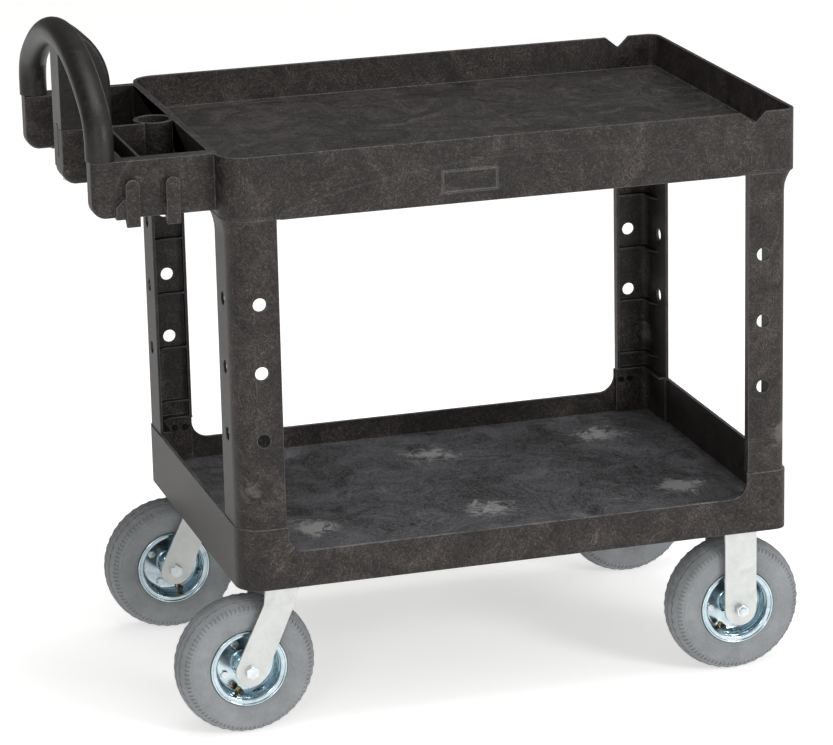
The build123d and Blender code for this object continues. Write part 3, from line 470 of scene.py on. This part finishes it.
@dataclass(frozen=True)
class GrainedPlastic(Finish):
    """Polypropylene with a coarse leather grain from the mould: near black, semi-matt, with paler specks."""

    name: str
    dark: str = "#070606"
    pale: str = "#292523"

    def build(self) -> bpy.types.Material:
        """Makes the material."""
        material, tree, shader, where = self.begin(self.name)
        cloud = add(tree, "ShaderNodeTexNoise", {"Vector": where, "Scale": 26.0, "Detail": 8.0,
                                                 "Roughness": 0.7, "Distortion": 2.2}).outputs["Fac"]
        speck = add(tree, "ShaderNodeTexNoise", {"Vector": where, "Scale": 430.0,
                                                 "Detail": 3.0}).outputs["Fac"]
        both = add(tree, "ShaderNodeMix", {"Factor": 0.45, "A": cloud, "B": speck}).outputs[0]
        colour = add(tree, "ShaderNodeValToRGB", {"Fac": both}, stops=(
            (0.36, linear(self.dark)), (0.66, linear(self.pale))))
        # 2 mm cells, drawn a little coarser than the real grain so that they show
        grain = add(tree, "ShaderNodeTexVoronoi", {"Vector": where, "Scale": 480.0})
        bump = add(tree, "ShaderNodeBump", {"Height": grain.outputs["Distance"], "Strength": 0.7,
                                            "Distance": 0.35 * MM})
        rough = add(tree, "ShaderNodeMapRange", {"Value": cloud, "To Min": 0.32, "To Max": 0.5})
        shader.inputs["Specular IOR Level"].default_value = 0.3
        tree.links.new(colour.outputs["Color"], shader.inputs["Base Color"])
        tree.links.new(rough.outputs[0], shader.inputs["Roughness"])
        tree.links.new(bump.outputs[0], shader.inputs["Normal"])
        return material


@dataclass(frozen=True)
class Rubber(Finish):
    """Vulcanised rubber: matt, with a dusty bloom that lies unevenly and a fine moulded skin."""

    name: str
    dark: str
    pale: str
    roughness: tuple[float, float] = (0.62, 0.85)

    def build(self) -> bpy.types.Material:
        """Makes the material."""
        material, tree, shader, where = self.begin(self.name)
        bloom = add(tree, "ShaderNodeTexNoise", {"Vector": where, "Scale": 22.0, "Detail": 8.0,
                                                 "Roughness": 0.7})
        fine = add(tree, "ShaderNodeTexNoise", {"Vector": where, "Scale": 480.0, "Detail": 3.0})
        both = add(tree, "ShaderNodeMix", {"Factor": 0.3, "A": bloom.outputs["Fac"],
                                           "B": fine.outputs["Fac"]})
        colour = add(tree, "ShaderNodeValToRGB", {"Fac": both.outputs[0]}, stops=(
            (0.3, linear(self.dark)), (0.7, linear(self.pale))))
        low, high = self.roughness
        rough = add(tree, "ShaderNodeMapRange", {"Value": bloom.outputs["Fac"], "To Min": low,
                                                 "To Max": high})
        bump = add(tree, "ShaderNodeBump", {"Height": fine.outputs["Fac"], "Strength": 0.25,
                                            "Distance": 0.15 * MM})
        tree.links.new(colour.outputs["Color"], shader.inputs["Base Color"])
        tree.links.new(rough.outputs[0], shader.inputs["Roughness"])
        tree.links.new(bump.outputs[0], shader.inputs["Normal"])
        return material


@dataclass(frozen=True)
class PlatedMetal(Finish):
    """Zinc or brass skin on metal: how blue, how cloudy and how rough it is depends on the bath.

    Bright zinc is bluish and mirrors its surroundings. Dull zinc is a plain grey, rougher, with
    small spangles. Screws, turned steel and brass differ in colour, roughness and cloud size.
    """

    name: str
    dark: str
    pale: str
    roughness: tuple[float, float]
    cloud_mm: float = 28.0
    spangle_mm: float = 1.5
    relief: float = 0.05

    def build(self) -> bpy.types.Material:
        """Makes the material."""
        material, tree, shader, where = self.begin(self.name)
        cloud = add(tree, "ShaderNodeTexNoise", {"Vector": where, "Scale": 1 / (self.cloud_mm * MM),
                                                 "Detail": 4.0, "Roughness": 0.6,
                                                 "Distortion": 0.6}).outputs["Fac"]
        spangle = add(tree, "ShaderNodeTexNoise", {"Vector": where, "Scale": 1 / (self.spangle_mm * MM),
                                                   "Detail": 3.0}).outputs["Fac"]
        both = add(tree, "ShaderNodeMix", {"Factor": 0.35, "A": cloud, "B": spangle}).outputs[0]
        colour = add(tree, "ShaderNodeValToRGB", {"Fac": both}, stops=(
            (0.32, linear(self.dark)), (0.68, linear(self.pale))))
        low, high = self.roughness
        rough = add(tree, "ShaderNodeMapRange", {"Value": both, "From Min": 0.3, "From Max": 0.7,
                                                 "To Min": low, "To Max": high})
        bump = add(tree, "ShaderNodeBump", {"Height": spangle, "Strength": self.relief,
                                            "Distance": 0.1 * MM})
        shader.inputs["Metallic"].default_value = 1.0
        tree.links.new(colour.outputs["Color"], shader.inputs["Base Color"])
        tree.links.new(rough.outputs[0], shader.inputs["Roughness"])
        tree.links.new(bump.outputs[0], shader.inputs["Normal"])
        return material


@dataclass(frozen=True)
class PaintedStudio(Finish):
    """Matt white studio surface, lit a little from within, with a trace of roller texture."""

    name: str = "studio_paint"
    colour: str = "#F4F4F3"
    glow: float = 0.56

    def build(self) -> bpy.types.Material:
        """Makes the material."""
        material, tree, shader, where = self.begin(self.name)
        roller = add(tree, "ShaderNodeTexNoise", {"Vector": where, "Scale": 60.0, "Detail": 3.0})
        bump = add(tree, "ShaderNodeBump", {"Height": roller.outputs["Fac"], "Strength": 0.03,
                                            "Distance": MM})
        shader.inputs["Base Color"].default_value = linear(self.colour)
        shader.inputs["Roughness"].default_value = 0.9
        shader.inputs["Specular IOR Level"].default_value = 0.0
        shader.inputs["Emission Color"].default_value = linear(self.colour)
        shader.inputs["Emission Strength"].default_value = self.glow
        tree.links.new(bump.outputs[0], shader.inputs["Normal"])
        return material


# ---------------------------------------------------------------- parts made from the CAD shapes
@dataclass
class EasedPart:
    """A CAD shape with its edges eased as a mould or a press leaves them."""

    node: str
    edge: float
    finish: bpy.types.Material
    slot: Slot
    segments: int = 2
    fine: tuple[tuple[Vector, Vector], ...] = ()
    fine_edge: float = 0.25 * MM
    turn: float = 30.0
    thrown: float = 0.8
    soft_turn: float = 32.0

    def merged(self) -> bpy.types.Object:
        """Copies the node's mesh, joins its loose triangles and clears the lines on its flats.

        Returns:
            The copy.
        """
        source = frame["nodes"][self.node]
        piece = bpy.data.objects.new(f"{self.node}_eased", source.data.copy())
        bpy.context.scene.collection.objects.link(piece)
        alone(piece)
        bpy.ops.object.mode_set(mode="EDIT")
        bpy.ops.mesh.select_all(action="SELECT")
        bpy.ops.mesh.remove_doubles(threshold=0.01 * MM)
        bpy.ops.mesh.dissolve_limited(angle_limit=math.radians(0.5))
        bpy.ops.object.mode_set(mode="OBJECT")
        return piece

    def weigh(self, piece: bpy.types.Object) -> None:
        """Marks how far each sharp edge is eased; fine relief is eased less.

        Args:
            piece: The merged copy.
        """
        mesh = piece.data
        faces: dict[tuple[int, int], list[int]] = {}
        for face in mesh.polygons:
            for key in face.edge_keys:
                faces.setdefault(key, []).append(face.index)
        marks = mesh.attributes.new("bevel_weight_edge", "FLOAT", "EDGE")
        limit = math.radians(self.turn)
        for edge in mesh.edges:
            pair = faces.get(tuple(sorted(edge.vertices)), [])
            if len(pair) != 2:
                continue
            if mesh.polygons[pair[0]].normal.angle(mesh.polygons[pair[1]].normal, 0.0) < limit:
                continue
            weight = 1.0
            at = (mesh.vertices[edge.vertices[0]].co + mesh.vertices[edge.vertices[1]].co) / 2
            for low, high in self.fine:
                if all(low[i] <= at[i] <= high[i] for i in range(3)):
                    weight = self.fine_edge / self.edge
            marks.data[edge.index].value = weight

    def settle(self, piece: bpy.types.Object) -> None:
        """Puts back on the CAD surface each point that easing has thrown off it.

        Args:
            piece: The bevelled copy.
        """
        source = frame["nodes"][self.node].data
        surface = BVHTree.FromPolygons([v.co for v in source.vertices],
                                       [f.vertices for f in source.polygons])
        for vertex in piece.data.vertices:
            nearest, _, _, distance = surface.find_nearest(vertex.co)
            if distance > self.thrown * self.edge:
                vertex.co = nearest

    def build(self, body: str) -> bpy.types.Object:
        """Makes the eased part and puts it in its node's place.

        Args:
            body: Body that it rides on.

        Returns:
            The piece.
        """
        piece = self.merged()
        self.weigh(piece)
        alone(piece)
        bevel = piece.modifiers.new("eased_edges", "BEVEL")
        bevel.width = self.edge
        bevel.segments = self.segments
        bevel.limit_method = "WEIGHT"
        bevel.use_clamp_overlap = False
        bevel.miter_outer = "MITER_ARC"
        bpy.ops.object.modifier_apply(modifier=bevel.name)
        self.settle(piece)
        smooth(piece, self.soft_turn)
        flats = piece.modifiers.new("flat_faces", "WEIGHTED_NORMAL")
        flats.keep_sharp = True
        bpy.ops.object.modifier_apply(modifier=flats.name)
        return fit(piece, body, self.slot, self.finish, self.node)


# ---------------------------------------------------------------- wheels
@dataclass
class PneumaticTyre:
    """Ribbed tyre: zig-zag grooves round the crown and short bars over each shoulder."""

    wheel: str
    centre: Vector
    finish: bpy.types.Material
    radius: float = 112.0
    half: float = 34.5
    shoulder: tuple[float, float] = (99.0, 30.5)
    tip: tuple[float, float] = (62.5, 31.0)
    widest_r: float = 83.0
    waves: int = 44
    steps_per_wave: int = 4
    wave_mm: float = 2.0
    groove_y: tuple[float, ...] = (5.6, 16.6)
    groove_w: float = 3.0
    groove_d: float = 4.2
    ring_r: tuple[float, ...] = (92.0, 68.5)
    ring_t: float = 0.55
    ring_half: float = 0.9
    side_points: int = 25
    chamber_points: int = 14
    crown_y: tuple[float, ...] = (20.5, 23.5, 26.5, 29.0)
    tread_drop: float = 6.0
    bar_y: tuple[float, float] = (25.0, 32.5)
    bar_low_r: float = 96.0
    bar_edge: float = 0.35
    bar_depth: float = 1.3
    bead_r: float = 52.7
    bead_y: float = 27.2
    mouth_y: float = 19.0
    chamber: tuple[float, float, float] = (82.0, 23.6, 27.1)

    def crown(self, y: float) -> float:
        """Radius of the crown at a distance from the middle."""
        reach, drop = self.shoulder[1], self.radius - self.shoulder[0]
        bend = (reach ** 2 + drop ** 2) / (2 * drop)
        return self.radius - bend + math.sqrt(bend ** 2 - y ** 2)

    def half_section(self) -> list[tuple[float, float]]:
        """Outline of one side from the crown's middle out to the bead, as (y, radius).

        Returns:
            The points in order.
        """
        points = []
        for y in self.groove_y:
            wall = self.groove_w / 2
            low = self.crown(y) - self.groove_d
            points += [(y - wall, self.crown(y - wall)), (y - wall * 0.6, low), (y + wall * 0.6, low),
                       (y + wall, self.crown(y + wall))]
        points += [(y, self.crown(y)) for y in self.crown_y]
        side = arc((self.shoulder[1], self.shoulder[0]), (self.half, self.widest_r),
                   (self.tip[1], self.tip[0]), self.side_points)
        for y, r in side:
            raised = any(abs(r - ring) < self.ring_half for ring in self.ring_r)
            points.append((y + (self.ring_t if raised else 0.0), r))
        return points + [(self.bead_y, self.tip[0] - 0.9), (self.bead_y, self.bead_r)]

    def section(self) -> list[tuple[float, float]]:
        """Whole closed outline with the air chamber open to the rim."""
        middle_r, tall, wide = self.chamber
        start = math.acos(self.mouth_y / wide)
        count = self.chamber_points
        turns = [-start + (math.pi + 2 * start) * i / (count - 1) for i in range(count)]
        chamber = [(wide * math.cos(t), middle_r + tall * math.sin(t)) for t in turns]
        outer = self.half_section()
        far = [(-y, r) for y, r in reversed(outer)]
        return outer + [(self.mouth_y, self.bead_r)] + chamber + [(-self.mouth_y, self.bead_r)] + far

    def step_of(self, at: Vector) -> float:
        """Which step of the turn a point is on."""
        steps = self.waves * self.steps_per_wave
        return math.atan2(at.x - self.centre.x, at.z - self.centre.z) / (2 * math.pi) * steps

    def build(self) -> bpy.types.Object:
        """Makes the tyre in its node's place."""
        steps = self.waves * self.steps_per_wave
        piece = spun(f"tyre_{self.wheel}_ribbed", self.section(), self.centre, steps)
        tread = self.groove_y[-1] + self.groove_w
        sway = (0.0, self.wave_mm, 0.0, -self.wave_mm)
        for vertex in piece.data.vertices:
            y = (vertex.co.y - self.centre.y) / MM
            r = math.hypot(vertex.co.x - self.centre.x, vertex.co.z - self.centre.z) / MM
            if r > self.radius - self.tread_drop and abs(y) < tread:
                vertex.co.y += sway[round(self.step_of(vertex.co)) % self.steps_per_wave] * MM

        def bar(at: Vector, normal: Vector) -> bool:
            """True on every other face of the shoulder bands."""
            y = abs(at.y - self.centre.y) / MM
            r = math.hypot(at.x - self.centre.x, at.z - self.centre.z) / MM
            inner, outer = self.bar_y
            return inner < y < outer and r > self.bar_low_r and math.floor(self.step_of(at)) % 2 == 0

        pick_faces(piece, bar)
        bpy.ops.mesh.inset(thickness=self.bar_edge * MM, depth=-self.bar_depth * MM, use_individual=False)
        bpy.ops.object.mode_set(mode="OBJECT")
        smooth(piece, 34.0)
        return fit(piece, f"wheel_{self.wheel}", Slot.TYRE, self.finish, f"tyre_{self.wheel}")


@dataclass
class SplitRim:
    """Two pressed halves bolted together: flat disc, deep well, bead seat and rolled flange."""

    wheel: str
    centre: Vector
    finish: bpy.types.Material
    bore_r: float = 23.0
    steps: int = 96

    def section(self) -> list[tuple[float, float]]:
        """Closed outline of one half as (y, radius), out from the joint face."""
        face, seat = 2.6, 52.4
        disc = [(face, self.bore_r), (face, 43.6)] + arc((face, 43.6), (4.4, 47.4), (8.4, 49.0), 6)[1:]
        step = [(17.0, 49.3)] + arc((18.0, 49.5), (18.9, 50.1), (19.8, 50.7), 4) + [(26.0, 50.9)]
        lip = arc((26.8, 51.0), (29.6, 52.0), (30.6, 54.8), 6) + [(30.8, 57.2)]
        curl = arc((30.9, 58.0), (33.3, 60.0), (31.0, 61.6), 9) + [(29.4, 61.5), (28.0, 60.0), (27.6, 56.5)]
        return disc + step + lip + curl + [(27.5, seat), (0.1, seat), (0.1, self.bore_r)]

    def build(self) -> list[bpy.types.Object]:
        """Makes both halves in their nodes' places."""
        halves = []
        for name, side in (("outer", -1), ("inner", 1)):
            section = [(side * y, r) for y, r in self.section()]
            piece = spun(f"rim_{name}_{self.wheel}_pressed", section, self.centre, self.steps)
            smooth(piece, 40.0)
            halves.append(fit(piece, f"wheel_{self.wheel}", Slot.RIM, self.finish,
                              f"rim_{name}_{self.wheel}"))
        return halves


@dataclass
class ValveStem:
    """Threaded brass valve and its black cap on the end of the inner tube's stem."""

    wheel: str
    centre: Vector
    brass: bpy.types.Material
    cap: bpy.types.Material
    sleeve_y: tuple[float, float] = (15.5, 26.5)
    cap_y: tuple[float, float] = (25.0, 34.0)
    thread_pitch: float = 1.4
    stem_reach: float = 48.0

    def place(self) -> Vector:
        """Finds the stem's axis on the inner tube.

        Returns:
            Point on the stem's axis at the wheel's middle plane.
        """
        tube = frame["nodes"][f"inner_tube_{self.wheel}"].data.vertices
        stem = [v.co for v in tube if (v.co - self.centre).length < self.stem_reach * MM]
        end = min(point.y for point in stem)
        tip = [point for point in stem if point.y < end + 0.5 * MM]
        x = (min(p.x for p in tip) + max(p.x for p in tip)) / 2
        z = (min(p.z for p in tip) + max(p.z for p in tip)) / 2
        return Vector((x, self.centre.y, z))

    def build(self) -> list[bpy.types.Object]:
        """Makes the sleeve and its cap."""
        at = self.place()
        near, far = self.sleeve_y
        turns = int((far - near - 3) / self.thread_pitch)
        thread = []
        for i in range(turns):
            y = near + 2.6 + i * self.thread_pitch
            thread += [(-y, 3.7), (-y - self.thread_pitch / 2, 3.25)]
        sleeve = [(-near, 0.0), (-near, 4.4), (-near - 2.0, 4.4), (-near - 2.3, 3.4)] + thread
        sleeve += [(-far, 3.3), (-far, 0.0)]
        low, high = self.cap_y
        cap = [(-low, 0.0), (-low, 4.3), (-high + 2.6, 4.1)]
        cap += arc((-high + 2.2, 3.9), (-high + 0.6, 2.6), (-high, 0.6), 5) + [(-high, 0.0)]
        pieces = []
        for name, section, finish, slot in (("valve_sleeve", sleeve, self.brass, Slot.FASTENER),
                                            ("valve_cap", cap, self.cap, Slot.TUBE)):
            piece = spun(f"{name}_{self.wheel}", section, at, 20)
            smooth(piece, 35.0)
            pieces.append(fit(piece, f"wheel_{self.wheel}", slot, finish))
        return pieces


@dataclass
class Thread:
    """Threaded end of a rigid caster's axle bolt, where it stands out of its nut on the right."""

    name: str
    body: str
    side: str
    finish: bpy.types.Material
    crest: float = 6.25
    root: float = 5.6
    pitch: float = 1.0
    turns: int = 3
    lead: float = 0.5
    foot: tuple[float, float] = (-0.1, 5.0)

    def build(self) -> bpy.types.Object:
        """Makes the ridges of the thread."""
        wheel = middle(f"tyre_front_{self.side}")
        ends = [v.co.y for v in frame["nodes"]["rigid_axle_bolts"].data.vertices
                if abs(v.co.y - wheel.y) < 100 * MM]
        at = Vector((wheel.x, min(ends), wheel.z))
        ridges = []
        for i in range(self.turns):
            ridges += [(self.lead + i * self.pitch, self.root), (2 * self.lead + i * self.pitch, self.crest)]
        end = self.lead + self.turns * self.pitch
        section = [(self.foot[0], 0.0), self.foot] + ridges + [(end, self.root), (end, 0.0)]
        piece = spun(self.name, section, at, 32)
        smooth(piece, 30.0)
        return fit(piece, self.body, Slot.FASTENER, self.finish)


# ---------------------------------------------------------------- the scene round the cart
@dataclass(frozen=True)
class Softbox:
    """One large square soft light."""

    name: str
    place: tuple[float, float, float]
    target: tuple[float, float, float]
    side: float
    watts: float

    def hang(self) -> None:
        """Hangs the light and turns it to its target."""
        data = bpy.data.lights.new(self.name, "AREA")
        data.shape = "SQUARE"
        data.size = self.side
        data.energy = self.watts
        light = bpy.data.objects.new(self.name, data)
        light.location = self.place
        aim = Vector(self.target) - Vector(self.place)
        light.rotation_euler = aim.to_track_quat("-Z", "Y").to_euler()
        bpy.context.scene.collection.objects.link(light)


@dataclass
class Studio:
    """White floor, soft lights and the camera."""

    focal_px: float = 3862.4
    frame_px: float = 833.0
    sensor_mm: float = 36.0
    eye: tuple[float, float, float] = (-1.7036, -5.7765, 2.2671)
    yaw: float = 0.2885
    pitch: float = 0.2889
    roll: float = -0.0223
    bright_side: tuple[float, float, float] = (0.3, -0.88, 0.37)
    air_light: tuple[float, float] = (0.14, 0.72)
    air_fade: tuple[float, float] = (-0.35, 0.6)
    floor_side: float = 40.0
    sight: float = 100.0
    lights: tuple[Softbox, ...] = (
        Softbox("key_light", (2.6, -4.4, 2.2), (0.1, 0.0, 0.5), 1.4, 105.0),
        Softbox("fill_light", (-2.2, -3.8, 1.8), (-0.2, 0.0, 0.5), 1.0, 26.0),
        Softbox("top_light", (0.0, -0.3, 3.6), (0.0, 0.0, 0.8), 2.4, 55.0))

    def camera(self) -> None:
        """Puts the camera at its place and angle."""
        ahead = Vector((math.sin(self.yaw) * math.cos(self.pitch), math.cos(self.yaw) * math.cos(self.pitch),
                        -math.sin(self.pitch)))
        right = Vector((math.cos(self.yaw), -math.sin(self.yaw), 0.0))
        up = right.cross(ahead)
        across = right * math.cos(self.roll) + up * math.sin(self.roll)
        upright = up * math.cos(self.roll) - right * math.sin(self.roll)
        data = bpy.data.cameras.new("camera")
        data.sensor_width = self.sensor_mm
        data.lens = self.focal_px / self.frame_px * self.sensor_mm
        data.clip_end = self.sight
        camera = bpy.data.objects.new("camera", data)
        turn = Matrix((across, upright, -ahead)).transposed().to_4x4()
        camera.matrix_world = Matrix.Translation(self.eye) @ turn
        bpy.context.scene.collection.objects.link(camera)
        bpy.context.scene.camera = camera

    def floor(self, finish: bpy.types.Material) -> None:
        """Lays the pale floor."""
        bpy.ops.object.select_all(action="DESELECT")
        bpy.ops.mesh.primitive_plane_add(size=self.floor_side)
        plane = bpy.context.object
        plane.name = "studio_floor"
        plane.data.materials.append(finish)

    def build(self) -> None:
        """Sets up everything round the cart."""
        self.camera()
        self.floor(PaintedStudio().build())
        self.air()
        bpy.context.scene.view_settings.view_transform = "Standard"
        for light in self.lights:
            light.hang()

    def air(self) -> None:
        """Surrounds the scene with soft light from the front, fading to dark behind."""
        world = bpy.data.worlds.new("studio_air")
        world.use_nodes = True
        tree = world.node_tree
        where = add(tree, "ShaderNodeTexCoord", {}).outputs["Generated"]
        toward = add(tree, "ShaderNodeVectorMath", {0: where, 1: self.bright_side}, operation="DOT_PRODUCT")
        (start, end), (dark, bright) = self.air_fade, self.air_light
        strength = add(tree, "ShaderNodeMapRange", {"Value": toward.outputs["Value"], "From Min": start,
                                                    "From Max": end, "To Min": dark, "To Max": bright})
        seen = add(tree, "ShaderNodeLightPath", {}).outputs["Is Camera Ray"]
        shown = add(tree, "ShaderNodeMath", {0: strength.outputs[0], 1: seen}, operation="MAXIMUM")
        sky = tree.nodes["Background"]
        sky.inputs["Color"].default_value = (1.0, 1.0, 1.0, 1.0)
        tree.links.new(shown.outputs[0], sky.inputs["Strength"])
        bpy.context.scene.world = world


def leg_gates() -> tuple[tuple[float, float, float], ...]:
    """Points where the plastic went into the legs, level with the lowest hole and near the outer corner.

    Returns:
        One point on each leg.
    """
    low_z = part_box("leg_rear_right")[0].z
    gates = []
    for end in ENDS:
        for side in SIDES:
            low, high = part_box(f"leg_{end}_{side}")
            x = low.x + GATE_IN[end] if end == "rear" else high.x - GATE_IN[end]
            gates.append((x, low.y if side == "right" else high.y, low_z + LOWEST_HOLE))
    return tuple(gates)


def main() -> None:
    """Builds the finishes, then the parts in order, and logs each piece."""
    logging.basicConfig(level=logging.INFO, format="%(name)s: %(message)s")
    body_of = {name: node["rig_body"] for name, node in frame["nodes"].items()}
    tray_gates = tuple((x, y, TRAY_FLOOR) for x, y in TRAY_GATES)
    foam_top = StructuralFoam("structural_foam_top_tray", floor_lines=True).build()
    # the bottom tray's upward faces carry the full painted sheen
    foam_bottom = StructuralFoam("structural_foam_bottom_tray", tray_gates, floor_lines=True, floor_sheen_share=1.0,
                                 burst="#BDBBBA").build()
    foam_leg = StructuralFoam("structural_foam_legs", leg_gates(), gate_reach=0.036, gate_share=0.45,
                              burst="#716A66").build()
    grained = GrainedPlastic("grained_polypropylene").build()
    grey_rubber = Rubber("grey_tyre_rubber", "#696C6E", "#898C8E").build()
    oxide = PlatedMetal("black_oxide_screws", "#1B1A19", "#34312F", (0.4, 0.55), 6.0, 0.6).build()
    black_rubber = Rubber("butyl_tube_rubber", "#111111", "#242424", (0.4, 0.6)).build()
    bright_zinc = PlatedMetal("bright_zinc_plate", "#8FA6B0", "#D3DFE4", (0.1, 0.22)).build()
    dull_zinc = PlatedMetal("dull_zinc_plate", "#B4B6B4", "#CDCECD", (0.34, 0.48), 24.0, 0.9, 0.12).build()
    bolt_zinc = PlatedMetal("zinc_fasteners", "#B9BFC2", "#E2E6E8", (0.22, 0.36), 9.0, 0.8).build()
    turned_steel = PlatedMetal("turned_bearing_steel", "#A9ADB0", "#C8CBCD", (0.2, 0.3), 12.0, 0.6).build()
    brass = PlatedMetal("valve_brass", "#A47C33", "#D9B468", (0.22, 0.36), 5.0, 0.6).build()

    low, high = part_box("top_shelf")
    badge = (Vector((-0.05, low.y - MM, 0.845)), Vector((0.07, high.y + MM, 0.895)))
    socket = (Vector((low.x, -0.26, low.z)), Vector((low.x + 0.045, 0.26, low.z + 0.032)))
    EasedPart("top_shelf", 1.3 * MM, foam_top, Slot.FOAM, fine=(badge, socket)).build("cart")
    EasedPart("bottom_shelf", 1.3 * MM, foam_bottom, Slot.FOAM).build("cart")
    for end in ENDS:
        for side in SIDES:
            EasedPart(f"leg_{end}_{side}", 1.0 * MM, foam_leg, Slot.FOAM).build("cart")
    EasedPart("handle", 1.2 * MM, grained, Slot.HANDLE, segments=3).build("cart")

    for node, edge, finish, slot in (
            ("caster_bolts", 0.5, bolt_zinc, Slot.FASTENER),
            ("rigid_axle_bolts", 0.6, bolt_zinc, Slot.FASTENER),
            ("rigid_axle_nuts", 0.7, bolt_zinc, Slot.FASTENER)):
        EasedPart(node, edge * MM, finish, slot).build("cart")
    for side in SIDES:
        for node, edge, finish, slot in (
                (f"rigid_fork_{side}", 0.9, dull_zinc, Slot.FORK),
                (f"swivel_top_plate_{side}", 0.8, dull_zinc, Slot.FORK),
                (f"kingpin_{side}", 0.6, bolt_zinc, Slot.FASTENER),
                (f"swivel_fork_{side}", 0.9, dull_zinc, Slot.FORK),
                (f"swivel_axle_bolt_{side}", 0.6, bolt_zinc, Slot.FASTENER),
                (f"swivel_axle_nut_{side}", 0.7, bolt_zinc, Slot.FASTENER)):
            EasedPart(node, edge * MM, finish, slot).build(body_of[node])
        Thread(f"rigid_thread_{side}", "cart", side, bolt_zinc).build()

    for end in ENDS:
        for side in SIDES:
            wheel = f"{end}_{side}"
            centre = middle(f"tyre_{wheel}")
            PneumaticTyre(wheel, centre, grey_rubber).build()
            SplitRim(wheel, centre, bright_zinc).build()
            ValveStem(wheel, centre, brass, black_rubber).build()
            EasedPart(f"hub_{wheel}", 0.9 * MM, bright_zinc, Slot.BEARING,
                      segments=3).build(f"wheel_{wheel}")
            EasedPart(f"rim_bolts_{wheel}", 0.4 * MM, bolt_zinc, Slot.FASTENER).build(f"wheel_{wheel}")

    carried = {"inner_tube": black_rubber, "bearings": turned_steel, "swivel_balls": turned_steel,
               "rigid_axle_spacers": bolt_zinc, "swivel_axle_spacers": bolt_zinc, "leg_screws": oxide,
               "handle_screws": bolt_zinc, "caster_inserts": bolt_zinc}
    for name, node in frame["nodes"].items():
        for start, finish in carried.items():
            if name.startswith(start):
                node.data.materials.clear()
                node.data.materials.append(finish)
                LOG.info("%s keeps its shape", name)
    Studio().build()


if __name__ == "__main__":
    main()
